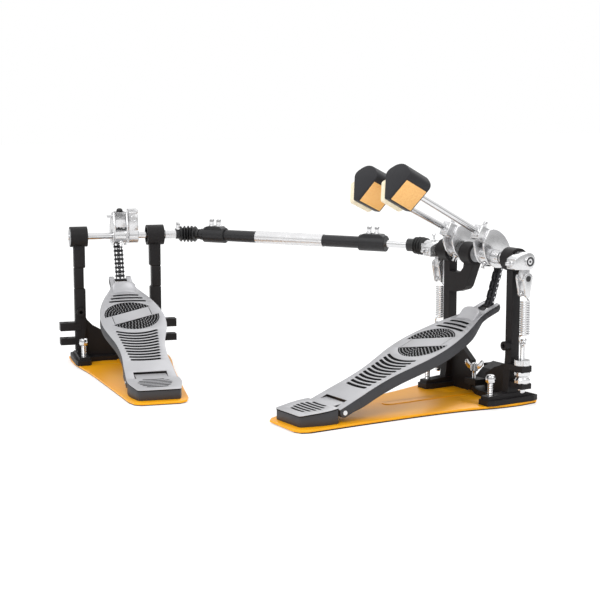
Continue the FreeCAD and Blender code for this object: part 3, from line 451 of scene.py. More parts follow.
def gather(*parts):
    # several shapes, each with its place, in one mesh
    whole = bmesh.new()
    for part in parts:
        bm, place = part if isinstance(part, tuple) else (part, None)
        if place is not None:
            bm.transform(place)
        holder = bpy.data.meshes.new("part")
        bm.to_mesh(holder)
        bm.free()
        whole.from_mesh(holder)
        bpy.data.meshes.remove(holder)
    return whole


def makePiece(name, bm, finish, body=None, place=None, standsFor=(), crease=32):
    bm.transform(Matrix.Scale(mm, 4) @ (place or Matrix()))
    mesh = bpy.data.meshes.new(name)
    bm.to_mesh(mesh)
    bm.free()
    for polygon in mesh.polygons:
        polygon.use_smooth = True
    mesh.set_sharp_from_angle(angle=math.radians(crease))
    mesh.materials.append(finishes[finish])
    piece = bpy.data.objects.new(name, mesh)
    scene.collection.objects.link(piece)
    if body:
        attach(piece, body)
    if standsFor:
        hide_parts(*standsFor)
    return piece


# footboards
board = {
    "rim": [(34.8, -5.2), (33.2, 30), (31.6, 57), (34, 87), (40.2, 112), (44.8, 132), (46.5, 152), (45.3, 170),
            (41, 190), (33.5, 212), (24.5, 231), (19.6, 242), (17.2, 253)],
    "earEnd": 276.5, "earInner": 9, "earOuter": 16.6, "notch": 255.5, "toe": (271.2, 4.27), "earRound": 6.5,
    "earUnder": [(232, -3.2), (246, -2.2)], "earNeck": 262, "earOver": [(275.5, 4.9), (232, 4.9)], "earGap": 0.3,
    "spot": (1.9, 16.1, 16.75),
    "knuckle": (25.3, 34.4), "knuckleRound": 6.4, "knuckleRoot": [(8, 6.4), (24, 5.2), (24, -5)],
    "top": 7, "deckThick": 0.9, "deckEdge": 0.35, "tongueNotch": (22.6, 15), "heelNotch": (25, 17.5),
    "slot": 2.2, "toeSlots": [(222, 17), (213.5, 21.5), (204.8, 25)], "toeSag": -1.6,
    "lowSlots": {"count": 11, "first": 114, "pitch": 6.9, "half": 27.5, "narrowing": 8.5, "sag": 6.5,
                 "flattening": 5.2},
    "oval": (163, 39, 37.5),
    "bandTurn": 22.5, "bandHalf": 10.2, "bandReach": 30.5, "bandLine": 0.45, "bandShear": 3.5,
    "pips": {"first": 4.2, "ring": 4.1, "apart": 4.6, "clear": 1.6, "radius": 1.1, "taper": 0.6, "height": 1.8,
             "sunk": 0.95},
    "skirt": {"inset": 0.8, "wall": 3.2, "bottom": -8, "start": 22, "toeStart": 205, "toeRun": 48, "toeRise": 6.5,
              "heelRun": 26, "heelRise": 3.2},
    "sheet": {"inset": 2.5, "start": 20, "low": 4.6, "high": 5.9},
    "stop": [(230, 5.4), (251, 5.4), (250.6, 9), (249.6, 14.2), (248, 15.4), (246, 14.8), (243.2, 12.2),
             (240, 9.9), (236.5, 8.1), (232, 7.05)],
    "stopHalf": 17, "stopBow": 5, "stopFall": 3, "stopRise": 8, "stopCuts": 7,
}


def slotOutline(middle, half, wide, sag):
    # one arched slot with round ends, bent by sag at its ends
    def line(side):
        return [(half * k / 6, middle + sag * (k / 6) ** 2 + side * wide) for k in range(-5, 6)]
    right = arc(wide, 90, -90, 30, (half, middle + sag))
    left = arc(wide, 270, 90, 30, (-half, middle + sag))
    return [(x, y, "VECTOR") for x, y in line(1) + right + line(-1)[::-1] + left]


def ovalFields():
    # the two parts of the oval above and below the bare band
    middle, wide, long = board["oval"]
    lean = math.radians(board["bandTurn"])
    fields = []
    for side in (1, -1):
        inside = []
        for k in range(181):
            a = math.radians(k * 2)
            x = wide * math.cos(a)
            y = long * math.sin(a)
            away = (-x * math.sin(lean) + y * math.cos(lean)) * side
            inside.append((away > board["bandHalf"], x, y + middle))
        start = next(k for k in range(180) if inside[k][0] and not inside[k - 1][0])
        run = []
        for k in range(start, start + 180):
            keep, x, y = inside[k % 180]
            if not keep:
                break
            run.append((x, y))
        step = max(1, len(run) // 12)
        picked = run[:-1:step] + [run[-1]]
        last = len(picked) - 1
        fields.append([(x, y, "VECTOR" if n in (0, last) else "AUTO") for n, (x, y) in enumerate(picked)])
    return fields


def boardOutline(inset=0.0, ears=True, notch=None):
    right = [(x - inset, y, "AUTO") for x, y in board["rim"]]
    right[0] = (right[0][0], right[0][1] + inset, "VECTOR")
    if notch:
        wide, deep = notch
        right = [(wide, deep, "VECTOR"), (wide, right[0][1], "VECTOR")] + right
    if ears:
        right += [(board["earOuter"] - inset, board["earEnd"], "VECTOR"),
                  (board["earInner"] + inset, board["earEnd"], "VECTOR"),
                  (board["earInner"] + inset, board["notch"], "VECTOR")]
    return mirrored(right)


def bandLines():
    # thin outline at the two short ends of the band
    middle = board["oval"][0]
    lean = math.radians(board["bandTurn"])
    lines = []
    for end in (1, -1):
        corners = []
        for a, b in ((-1, -0.92), (1, -0.92), (1, 0.92), (-1, 0.92)):
            u = end * board["bandReach"] + a * board["bandLine"] + board["bandShear"] * b
            v = b * board["bandHalf"]
            x = u * math.cos(lean) - v * math.sin(lean)
            corners.append((x, middle + u * math.sin(lean) + v * math.cos(lean), "VECTOR"))
        lines.append(corners)
    return lines


def pips():
    # small raised studs in rings over the two dark fields
    bm = bmesh.new()
    middle, wide, long = board["oval"]
    lean = math.radians(board["bandTurn"])
    pip = board["pips"]
    ring = pip["first"]
    while ring < wide - pip["clear"]:
        count = max(6, int(2 * math.pi * ring / pip["apart"]))
        stagger = 0.5 * (int(ring / pip["ring"]) % 2)
        for k in range(count):
            a = 2 * math.pi * (k + stagger) / count
            x = ring * math.cos(a)
            y = ring * long / wide * math.sin(a)
            if abs(-x * math.sin(lean) + y * math.cos(lean)) < board["bandHalf"] + pip["clear"]:
                continue
            place = shift(x, y + middle, board["top"] - pip["sunk"]) @ Matrix.Rotation(a, 4, "Z")
            bmesh.ops.create_cone(bm, cap_ends=True, segments=6, radius1=pip["radius"],
                                  radius2=pip["radius"] * pip["taper"], depth=pip["height"], matrix=place)
        ring += pip["ring"]
    return bm


def skirtShape():
    # dark wall under the deck, shallower toward the toe and the hinge
    skirt = board["skirt"]
    inset = skirt["inset"] + skirt["wall"]
    inner = [(x, max(y, skirt["start"]), kind) for x, y, kind in boardOutline(inset, False)]
    wall = flatPlate([boardOutline(skirt["inset"], False, board["heelNotch"]), inner], skirt["bottom"],
                     board["top"] - board["deckThick"] + 0.1)
    for v in wall.verts:
        if v.co.z < 0:
            toe = min(1, max(0, (v.co.y - skirt["toeStart"]) / skirt["toeRun"]))
            heel = max(0, (skirt["heelRun"] - v.co.y) / skirt["heelRun"])
            v.co.z += skirt["toeRise"] * toe * toe * (3 - 2 * toe) + skirt["heelRise"] * heel
    return wall


def slotShadeAndOvalSheet():
    # dark sheet under the slots and the oval: seen through the slots it is painted shade, under the oval fields it is
    # their black-painted floor
    sheet = board["sheet"]
    rim = [(x, max(y, sheet["start"]), kind) for x, y, kind in boardOutline(sheet["inset"], False)]
    return flatPlate([rim], sheet["low"], sheet["high"], 0.1)


def toeStop():
    # hollow ramp up to a crest that bows toward the toe in the middle
    half = board["stopHalf"]
    cuts = board["stopCuts"]
    bm = prism(board["stop"], -half, half, 0.5)
    for k in range(1 - cuts, cuts):
        bmesh.ops.bisect_plane(bm, geom=bm.verts[:] + bm.edges[:] + bm.faces[:],
                               plane_co=(0, 0, half * k / cuts), plane_no=(0, 0, 1))
    for v in bm.verts:
        part = (v.co.z / half) ** 2
        v.co.x -= board["stopBow"] * part
        v.co.y -= board["stopFall"] * part ** 3 * max(0, v.co.y - board["top"]) / board["stopRise"]
    return bm


def boardEars():
    # toe ears for the chain pin and hinge knuckles
    ears = []
    along, up = board["toe"]
    r = board["earRound"]
    outline = board["earUnder"] + [(board["earNeck"], up - r)] + arc(r, -90, 30, 15, (along, up))
    outline += board["earOver"]
    for low, high in bothSides(board["earInner"] + board["earGap"], board["earOuter"] - board["earGap"]):
        ears.append((prism(outline, low, high, 0.4), alongX))
    knuckle = arc(board["knuckleRound"], -90, -270, 15) + board["knuckleRoot"]
    for low, high in bothSides(*board["knuckle"]):
        ears.append((prism(knuckle, low, high, 0.5), alongX))
    return gather(*ears)


def makeBoard(side):
    place = pedals[side] @ boardPlace
    holes = [slotOutline(y, half, board["slot"], board["toeSag"]) for y, half in board["toeSlots"]]
    rows = board["lowSlots"]
    for k in range(rows["count"]):
        part = k / (rows["count"] - 1)
        half = rows["half"] - rows["narrowing"] * part
        sag = rows["sag"] - rows["flattening"] * part
        holes.append(slotOutline(rows["first"] - rows["pitch"] * k, half, board["slot"], sag))
    holes += ovalFields() + bandLines()
    rim = boardOutline(0, True, board["tongueNotch"])
    deck = flatPlate([rim] + holes, board["top"] - board["deckThick"], board["top"], board["deckEdge"])
    body = side + "_footboard"
    makePiece(side + "_deck", gather(deck, pips(), (toeStop(), alongX)), "deck", body, place, [body])
    makePiece(side + "_skirt", skirtShape(), "skirt", body, place)
    # this dark sheet is painted shade in the slots and the black paint of the oval fields
    makePiece(side + "_under_sheet", slotShadeAndOvalSheet(), "grip", body, place)
    makePiece(side + "_board_ears", boardEars(), "skirt", body, place)
    spot = gather((disc(*board["spot"], 24), shift(0, *board["toe"]) @ alongX))
    makePiece(side + "_ear_spot", spot, "boot", body, place)


for side in pedals:
    makeBoard(side)
print("footboards made")

# heel plates
heel = {"front": 61, "frontHalf": 29, "rearHalf": 36, "rear": 8.4, "shoulder": 26, "top": 25, "frontTop": 18.6,
        "corner": ((-3.6, 0), (-1.2, 0.8), (0.6, 3.6)), "tongue": 21.6, "lip": 10.2,
        "barrel": 6.4, "barrelBore": 3.1, "barrelHalf": 24,
        "slots": (13, 19, 21.5, 20, 17.5, 13), "firstSlot": -15.5, "slotPitch": 6.3, "slot": 1.9, "slotSag": 0.9,
        "skin": 0.45, "sheetInset": 0.6, "sheetTop": 0.5, "sheetLow": 1.9, "bodyInset": 0.9, "blank": 4}


def heelOutline(inset):
    half = heel["frontHalf"] - inset
    wide = heel["rearHalf"] - inset
    front = -heel["front"] + inset
    tongue = heel["tongue"] - inset
    right = [(half + x, front + y, "VECTOR") for x, y in heel["corner"]]
    right += [(wide, -heel["shoulder"], "AUTO"), (wide - 0.8, -heel["rear"] - inset, "VECTOR"),
              (tongue, -heel["rear"] - inset, "VECTOR"), (tongue, heel["lip"] - inset, "VECTOR")]
    return mirrored(right)


def heelRise(y):
    return heel["top"] + (heel["top"] - heel["frontTop"]) * y / heel["front"]


def makeHeel(side):
    place = pedals[side] @ shift(0, -layout["hingeBack"], 0)
    slots = [slotOutline(heel["firstSlot"] - heel["slotPitch"] * k, half, heel["slot"], heel["slotSag"])
             for k, half in enumerate(heel["slots"])]
    top = flatPlate([heelOutline(0)] + slots, -heel["skin"], 0, 0.15)
    # the dark sheet under the slotted top is painted shade seen through the slots
    under = flatPlate([heelOutline(heel["sheetInset"])], -heel["sheetLow"], -heel["sheetTop"], 0.2)
    foot = layout["plateTop"]
    inset = heel["bodyInset"]
    rim = [(x, min(y, -heel["rear"] - inset), kind) for x, y, kind in heelOutline(inset)]
    body = flatPlate([rim], foot, foot + heel["blank"])
    for v in list(top.verts) + list(under.verts):
        v.co.z += heelRise(v.co.y)
    for v in body.verts:
        if v.co.z > foot + heel["blank"] / 2:
            v.co.z += heelRise(v.co.y) - heel["sheetLow"] - foot - heel["blank"]
    barrel = tube(heel["barrelBore"], heel["barrel"], -heel["barrelHalf"], heel["barrelHalf"], 0.4)
    makePiece(side + "_heel_top", top, "deck", side + "_frame", place, [side + "_heel_plate"])
    makePiece(side + "_heel_sheet", under, "grip", side + "_frame", place)
    makePiece(side + "_heel_body", gather(body, (barrel, shift(0, 0, layout["hingeHeight"]) @ alongX)), "skirt",
              side + "_frame", place)


for side in pedals:
    makeHeel(side)
print("heel plates made")

# base plates
plates = {
    "main": [(30, -321), (40, -316.5), (44, -306), (43, -215), (47, -90), (60, 0), (57, 36), (34, 55.5),
             (-94, 56), (-111, 40), (-112, 6), (-84, -100), (-52, -215), (-44, -298), (-38, -310), (-28, -318)],
    "slave": [(26, -322), (35, -316), (40, -300), (50, -200), (62, -90), (73, -8), (73, 40), (60, 56),
              (-60, 56), (-74, 40), (-74, -8), (-62, -90), (-50, -200), (-40, -300), (-35, -316), (-26, -322)],
    "straight": (-280, 35), "low": 1.5, "top": layout["plateTop"], "edge": 0.8, "spurHole": 5.9,
    "rib": {"main": (-28, -140), "slave": (0, -140)}, "ribHalf": 9, "ribTop": 5.9, "ribEdge": 1.4,
    "gripScale": (0.975, 0.99),
}
spurs = {"main": (48, -85.5), "slave": (53, -61), "y": -34}


def makePlate(side):
    front, rear = plates["straight"]
    rim = [(x, y, "VECTOR" if y < front or y > rear else "AUTO") for x, y in plates[side]]
    rings = [arc(plates["spurHole"], 0, 330, 30, (at, spurs["y"])) for at in spurs[side]]
    holes = [[(x, y, "AUTO") for x, y in ring] for ring in rings]
    sheet = flatPlate([rim] + holes, plates["low"], plates["top"], plates["edge"])
    x, y = plates["rib"][side]
    half = plates["ribHalf"]
    outline = [(a, b, "VECTOR") for a, b in arc(half, 180, 360, 20, (x, y)) + [(x + half, 0), (x - half, 0)]]
    rib = flatPlate([outline], plates["low"] + 1, plates["ribTop"], plates["ribEdge"])
    body = side + "_frame"
    makePiece(side + "_plate", gather(sheet, rib), "gold", body, pedals[side], [side + "_base_plate"])
    across, along = plates["gripScale"]
    under = [(x * across, y * along, kind) for x, y, kind in rim]
    grip = flatPlate([under] + holes, 0, plates["low"], 0.2)
    makePiece(side + "_grip", grip, "grip", body, pedals[side], [side + "_grip_sheet"])


for side in pedals:
    makePlate(side)
print("base plates made")

# beaters
beater = {"back": 5.5, "drop": 24.5, "slant": 30, "face": 33, "reach": 24.5, "half": 19, "pad": 17,
          "felt": 10.5, "bend": 29, "shoulder": (35, 43.5), "collar": [(4.1, -22), (6.4, -22), (7.2, -21), (7.2, -18)]}


def facePoint(along, out, side=1):
    # a point on a slanted face of the three-sided head, up from its back edge and outward
    slant = math.radians(beater["slant"])
    return (side * (beater["back"] + along * math.sin(slant) + out * math.cos(slant)),
            along * math.cos(slant) - out * math.sin(slant) - beater["drop"])


def faceStrip(first, last, low, high, side=1):
    corners = ((first, low), (last, low), (last, high), (first, high))
    points = [facePoint(along, out, side) for along, out in corners]
    return points if side < 0 else points[::-1]


def bend(first, corner, last, steps=6):
    # points of a soft corner
    points = []
    for k in range(steps + 1):
        t = k / steps
        points.append(tuple(a * (1 - t) ** 2 + c * 2 * t * (1 - t) + b * t ** 2
                            for a, c, b in zip(first, corner, last)))
    return points


def makeBeater(word, x):
    place = headPlace(x)
    body = word + "_beater_head"
    crown = arc(beater["bend"], 54, 126, 6, (0, beater["reach"] - beater["bend"]))
    start, corner = beater["shoulder"]
    right = bend(facePoint(start, 0), facePoint(corner, 0), crown[0])
    left = [(-x, y) for x, y in reversed(right)]
    outline = [facePoint(0, 0)] + right + crown[1:-1] + left + [facePoint(0, 0, -1)]
    shell = prism(outline, -beater["half"], beater["half"], 1.6, 3)
    makePiece(word + "_head_shell", gather(shell, lathe(beater["collar"])), "plastic", body, place,
              [word + "_beater_head"], 40)
    wood = prism(faceStrip(1.2, beater["face"] - 0.6, -4, 0.7), -beater["pad"], beater["pad"], 0.6)
    makePiece(word + "_head_wood", wood, "wood", body, place, [word + "_beater_wood"], 50)
    felt = prism(faceStrip(1, beater["face"], -0.5, beater["felt"], -1), -beater["pad"], beater["pad"], 3.6, 4)
    makePiece(word + "_head_felt", felt, "felt", body, place, [word + "_beater_felt"], 60)


for word, x in (("main", 0), ("second", layout["secondX"])):
    makeBeater(word, x)
print("beaters made")

# springs with their tensioners
spring = {"radius": 5.4, "wire": 1.2, "pitch": 3, "turns": 14.5, "around": 24, "low": 96, "bend": 3, "rise": 3,
          "lead": ((0, 4), (0.6, 2.4), (1.6, 1)), "places": {"main": 69, "second": -106}}


def springPath(x):
    r = spring["radius"]
    away = spring["bend"] + spring["rise"]
    top = spring["low"] + spring["pitch"] * spring["turns"]
    hook = [(x, y, z) for y, z in arc(r, 0, -180, 12, (0, spring["low"] - away))]
    lead = [(x + out, -r, spring["low"] - drop) for out, drop in spring["lead"]]
    around = spring["around"]
    coil = []
    for k in range(1, int(spring["turns"] * around)):
        a = math.radians(360 * k / around - 90)
        rise = spring["pitch"] * k / around
        coil.append((x + spring["bend"] + r * math.cos(a), r * math.sin(a), spring["low"] + rise))
    tail = [(x + out, r, top + drop) for out, drop in reversed(spring["lead"])]
    return hook + lead + coil + tail + [(x, y, z) for y, z in arc(r, 0, 180, 12, (0, top + away))]


def makeSpring(word):
    x = spring["places"][word]
    coil = makePiece(word + "_coil", sweep(springPath(x), spring["wire"], 10), "springWire", None, None, (), 60)
    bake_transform(coil)
    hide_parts(word + "_spring")


def tensioner(x):
    nut = lathe([(3.1, 33.1), (9.9, 33.1), (10.5, 33.8), (10.5, 37.4), (9, 38.8), (8.5, 40.5), (9, 42.2),
                 (10.5, 43.6), (10.5, 47.2), (9.9, 47.9), (3.1, 47.9)])
    eye = sweep([(a, 0, b) for a, b in arc(3.85, 0, 360, 15, (0, 84.6))], 1.6, 12)
    lockNut = prism(arc(4.7, 0, 300, 60), 21, 25.9, 0.4)
    parts = [thread(3, 20, 81), knurl(10, 56.1, 63, 44, 0.5), nut, eye, lockNut]
    return [(part, shift(x, 0, 0)) for part in parts]


tensioners = []
for word, x in spring["places"].items():
    makeSpring(word)
    tensioners += tensioner(x)
makePiece("tensioners", gather(*tensioners), "chrome", "main_frame", None, ["spring_tensioners"])
print("springs made")


# spurs and the hoop clamp's wing bolt
def spur(x):
    head = lathe([(0, 44), (3.6, 43.7), (5.6, 42.4), (6.6, 40), (6.7, 36.5), (5.9, 34), (4.4, 32.8), (0, 32.6)], 32)
    tip = lathe([(0, 2), (0.6, 2), (3.6, 6.4), (0, 6.4)], 24)
    return [(part, shift(x, spurs["y"], 0)) for part in (head, thread(4, 6, 33, 2.2, 0.7), tip)]


for side in pedals:
    bolts = gather(*[part for x in spurs[side] for part in spur(x)])
    makePiece(side + "_spur_bolts", bolts, "chrome", side + "_spurs", pedals[side], [side + "_spurs"])

wing = {"half": [(0, 37), (4, 36.6), (8.5, 39), (12, 43.5), (13, 48), (11.2, 50.6), (8.8, 49.6), (6.6, 46),
                 (3.6, 43.6), (0, 43.2)], "thick": 1.7, "turned": 35, "place": (-18.75, -7, 0)}


def wingBolt():
    half = wing["half"]
    wings = prism(half + [(-a, b) for a, b in reversed(half[1:-1])], -wing["thick"], wing["thick"], 1.1, 3)
    hub = lathe([(0, 46.4), (2.6, 46.2), (4, 45), (4.6, 41), (5.4, 36), (5, 35.5), (0, 35.5)])
    return gather((wings, turn(wing["turned"], "Z") @ turn(90, "X")), hub, thread(3, 15.8, 36))


makePiece("wing_bolt", wingBolt(), "chrome", "wing_bolt", shift(*wing["place"]), ["hoop_wing_bolt"])
print("spurs and wing bolt made")

# ribbed boots over the shaft joints
boots = {"half": 17, "radius": 12.6, "groove": 8.9, "steps": 96, "main": (4, 0.7, 9), "slave": (5, 0.84, 7.6)}


def bootShape(centre, first, second, ribs, ribbed, neck):
    # bent between two directions, ribbed up to a share of its length and plain after it
    ends = (centre + first * boots["half"], centre + second * boots["half"])
    path = []
    radii = []
    for k in range(boots["steps"] + 1):
        t = k / boots["steps"]
        path.append(ends[0] * (1 - t) ** 2 + centre * (2 * t * (1 - t)) + ends[1] * t ** 2)
        swell = math.sin(math.pi * min(1, t / ribbed))
        high = boots["radius"] - 1.2 * (1 - swell)
        wave = (0.5 - 0.5 * math.cos(2 * math.pi * ribs * t / ribbed)) ** 0.7
        radii.append(boots["groove"] + (high - boots["groove"]) * wave if t < ribbed else neck)
    return sweep(path, radii, 36)


mainJoint = Vector((-layout["joint"], 0, layout["axle"]))
toSlave = Vector((-math.cos(shaftYaw), -math.sin(shaftYaw), 0))
slaveAxis = Vector((math.cos(slaveYaw), math.sin(slaveYaw), 0))
slaveJoint = mainJoint + toSlave * layout["shaft"]
mainBoot = bootShape(mainJoint, Vector((1, 0, 0)), toSlave, *boots["main"])
slaveBoot = bootShape(slaveJoint, -slaveAxis, -toSlave, *boots["slave"])
makePiece("main_bellows", mainBoot, "boot", "main_frame", None, ["main_boot"], 70)
makePiece("slave_bellows", slaveBoot, "boot", "slave_frame", None, ["slave_boot"], 70)
print("boots made")

# cam hubs with their key screws
hub = {"grip": (9.5, 28.5, 14.5, 36), "inner": 8, "outer": 11,
       "places": {"main": (0, -14, 11.9), "second": (layout["secondX"], -9, 8.6), "slave": (0, -11, 11.6)}}


def keyScrew():
    flange = lathe([(0, 0), (3.7, 0), (3.7, 1.2), (3, 1.8), (0, 1.8)], 28)
    return gather(flange, boxShape((-2.2, -2.2, 1.5), (2.2, 2.2, 8), 0.7))


def flow(points, steps=4):
    # smooth curve through the points
    made = []
    ends = [points[0]] + points + [points[-1]]
    for k in range(1, len(points)):
        a, b, c, d = [Vector(p) for p in ends[k - 1:k + 3]]
        for j in range(steps):
            t = j / steps
            at = b * 2 + (c - a) * t + (a * 2 - b * 5 + c * 4 - d) * t ** 2 + (b * 3 - a - c * 3 + d) * t ** 3
            made.append(tuple(at / 2))
    return made + [tuple(points[-1])]


def wheelParts(left, radius):
    front = radius + 0.9
    back = flow([(25.8, 25.6), (30.8, 17.8), (32, 7), (29.5, -4), (22.5, -16), (12, -24), (2, -25),
                 (-0.65 * front, -17), (-front, -8)])
    cheek = [(-front, 5), (-0.55 * front, 14), (2, 22), (6.5, 25.3)] + back
    cheeks = [(prism(cheek, low, high, 0.7), alongX) for low, high in bothSides(hub["inner"], hub["outer"])]
    return cheeks + [(tube(layout["bore"], radius, left, hub["outer"] - 0.6), alongX)]


def gripParts():
    low, high, near, far = hub["grip"]
    socket = lathe([(4.2, far - 1), (6.6, far - 1), (6.8, far + 1.6), (6.2, far + 2.2), (4.2, far + 2.2)])
    return [(boxShape((-hub["inner"], low, near), (hub["inner"], high, far), 1.3, 3), Matrix()),
            (socket, shift(0, layout["rodOffset"], 0))]


for word, (x, left, radius) in hub["places"].items():
    place = (pedals["slave"] if word == "slave" else Matrix()) @ hubPlace(x)
    parts = wheelParts(left, radius)
    screws = [(keyScrew(), shift(1, 0.5 - radius, 3) @ turn(90, "X"))]
    if word != "slave":
        parts += gripParts()
        screws += [(keyScrew(), shift(0, 28.4, 27) @ turn(-90, "X")),
                   (keyScrew(), shift(-7.9, layout["rodOffset"], 25) @ turn(-90, "Y"))]
    makePiece(word + "_hub", gather(*parts), "polished", word + "_axle", place, [word + "_cam_hub"])
    makePiece(word + "_hub_screws", gather(*screws), "chrome", word + "_axle", place)

# rocker arms with their pins and screws
rocker = {"big": 11.3, "half": 8, "tail": -22.6, "pivot": -22, "pin": (2, -8, 8),
          "link": (4.6, 8.2), "linkReach": -20.8, "eye": (3.8, 7.9, 8.5), "groove": ((3.7, 6.1), (0, 1.5)),
          "turned": {"main": 0, "second": 180}}


def rockerShape(outward):
    outline = arc(rocker["big"], -78, 104, 11)
    outline += [(-14, 8), (-21.6, 4.2), (rocker["tail"], 3), (rocker["tail"], -8.4), (-21.6, -9.6)]
    lug = [(5.8, -9), (-5.8, -9)] + arc(5.8, 180, 360, 15, (0, rocker["pivot"]))
    rim = lathe([(6.6, 0), (6.6, 2.5), (6.1, 3.1), (layout["bore"], 3.1), (layout["bore"], 0)])
    return [(prism(outline, -rocker["half"], rocker["half"], 1.1, 3), alongX), (prism(lug, -4, 4, 0.6), alongX),
            (rim, outward @ shift(rocker["half"] - 0.1, 0, 0) @ alongX),
            (disc(*rocker["pin"]), shift(0, 0, rocker["pivot"]) @ alongX),
            (keyScrew(), shift(0, rocker["tail"] + 0.4, -2) @ turn(90, "X"))]


def linkShape():
    # two slim plates with a cross pin for the spring
    reach = rocker["linkReach"]
    outline = arc(7.6, -25, 205, 23) + [(-3.9, -18)] + arc(3.9, 180, 360, 30, (0, reach)) + [(3.9, -18)]
    sides = [(prism(outline, low, high, 0.6), alongX) for low, high in bothSides(*rocker["link"])]
    return gather(*sides, (disc(*rocker["pin"]), shift(0, 0, reach) @ alongX))


for word, x in spring["places"].items():
    place = shift(x, 0, layout["axle"])
    outward = turn(rocker["turned"][word], "Z")
    makePiece(word + "_rocker", gather(*rockerShape(outward)), "polished", word + "_axle", place,
              [word + "_rocker_arm", word + "_axle_bolts"])
    if word == "main":
        # dark rings on the rocker's outer face are painted shade in its recessed ring and centre
        groove = [(disc(r, 10.8, 11.3, 36, bore), place @ outward @ alongX) for bore, r in rocker["groove"]]
        makePiece("main_axle_groove_shade", gather(*groove), "skirt", "main_axle")
    pivot = shift(x, 0, layout["axle"] + rocker["pivot"])
    makePiece(word + "_link", linkShape(), "polished", word + "_spring_link", pivot, [word + "_spring_link"])
    eye = gather((disc(*rocker["eye"], 32), outward @ alongX))
    makePiece(word + "_link_eye", eye, "boot", word + "_spring_link", pivot)

# light pin ends on the straight run of the chains
chainPins = {"start": (0, 123.42), "step": (1.908, 6.057), "count": 10, "ends": (6.85, 7.25), "radius": 1.25}
for side in pedals:
    dots = []
    for k in range(1, chainPins["count"] + 1):
        y, z = [a + b * k for a, b in zip(chainPins["start"], chainPins["step"])]
        for low, high in bothSides(*chainPins["ends"]):
            dots.append((disc(chainPins["radius"], low, high, 16), shift(0, y, z) @ alongX))
    makePiece(side + "_chain_pins", gather(*dots), "satin", side + "_chain_span", pedals[side])

# block beside the slave hub, with its sunk screw and the plug in the hub
driveBlock = {"low": 12.6, "high": 27, "depth": 9, "radius": 12, "seam": 32.6, "gap": 0.4, "sunk": 1.5,
              "top": 39, "screw": 25.5, "gripScrew": (-11, -5, 29),
              "grip": (((-8, -13.5, 13), (8, -4.6, 36)), ((-8, -13.5, 23.6), (8, 5.5, 36)))}


def driveShape():
    low, high, depth, top = (driveBlock[key] for key in ("low", "high", "depth", "top"))
    seam, gap, sunk = driveBlock["seam"], driveBlock["gap"], driveBlock["sunk"]
    barrel = tube(layout["bore"], driveBlock["radius"], low, high)
    lower = boxShape((low, -depth, 6), (high, depth, seam - gap), 0.9)
    upper = boxShape((low, -depth, seam + gap), (high, depth, top), 0.9)
    core = boxShape((low + sunk, sunk - depth, 8), (high - sunk, depth - sunk, top - 2), 0)
    rim = lathe([(4.6, 0), (4.6, 0.5), (4.2, 0.9), (3.4, 0.9), (3.1, 0.2), (0, 0.1)], 28)
    face = shift((low + high) / 2, 0.1 - depth, driveBlock["screw"]) @ turn(90, "X")
    return gather((barrel, alongX), lower, upper, core, (rim, face))


slaveAxle = pedals["slave"] @ shift(0, 0, layout["axle"])
makePiece("slave_block", driveShape(), "polished", "slave_axle", slaveAxle,
          ["slave_drive_block", "slave_axle_bolts"])
grip = [boxShape(low, high, 1.2) for low, high in driveBlock["grip"]]
grip.append((keyScrew(), shift(*driveBlock["gripScrew"]) @ turn(-90, "Y")))
makePiece("slave_grip_block", gather(*grip), "polished", "slave_axle", slaveAxle)
plug = lathe([(0, 41.2), (2.4, 40.9), (4, 39.8), (4.7, 37.6), (4.7, 35.9), (0, 35.9)], 28)
makePiece("slave_plug", gather((plug, shift(0, -4, 0))), "boot", "slave_axle", slaveAxle)

# clamping collars of the shaft, each with a raised block and two key screws
shaftCollars = {"spans": ((50, 91), (310, 346)), "bore": 8.6, "radius": 11.5, "top": 13.2, "half": 8.4,
                "foot": 7.8, "slant": 7, "apart": 5.8, "screw": 1.3}


def collarShape(low, high):
    half, foot, top, slant = (shaftCollars[key] for key in ("half", "foot", "top", "slant"))
    raised = prism([(low + 1, foot), (high - 1, foot), (high - slant, top), (low + slant, top)], -half, half, 1.2, 3)
    barrel = tube(shaftCollars["bore"], shaftCollars["radius"], low, high, 0.8)
    return [(barrel, alongX), (raised, turn(90, "X"))]


collarParts = []
collarScrews = []
for low, high in shaftCollars["spans"]:
    collarParts += collarShape(low, high)
    for out in (-1, 1):
        at = shift((low + high) / 2 + out * shaftCollars["apart"], 0, shaftCollars["top"] - 0.2)
        collarScrews.append((keyScrew(), at @ Matrix.Scale(shaftCollars["screw"], 4)))
makePiece("shaft_collar_blocks", gather(*collarParts), "tube", "shaft_tube", shaftPlace, ["shaft_collars"])
makePiece("shaft_key_screws", gather(*collarScrews), "chrome", "shaft_tube", shaftPlace, ["shaft_bolts"])

# collars at the shaft joints
collars = {"slave": (7.2, 84.5, 92, 0.6), "sleeve": (6.6, 67.8, 84.5, 0.5), "screw": (88.6, 0, 7),
           "yokeScrew": (-124, -9.4, -4), "yokeKnob": (-119, 0, 9.2),
           "rings": ((11.4, 25, 9.1), (26.4, 29.4, 7.8)), "ringPitch": 2.6}


def stub(radius, low, high, edge):
    # a sleeve on an axle, with one rounded end
    bore = layout["bore"]
    outline = [(bore, low), (radius - edge, low), (radius, low + edge), (radius, high), (bore, high)]
    return gather((lathe(outline), alongX))


def ringCollar():
    parts = []
    for low, high, r in collars["rings"]:
        count = int((high - low) / collars["ringPitch"])
        outline = [(layout["bore"], low)]
        for k in range(count):
            start = low + (high - low) * k / count
            end = low + (high - low) * (k + 1) / count
            outline += [(r - 0.7, start), (r, start + 0.5), (r, end - 0.5), (r - 0.7, end)]
        parts.append((lathe(outline + [(layout["bore"], high)]), alongX))
    return gather(*parts)


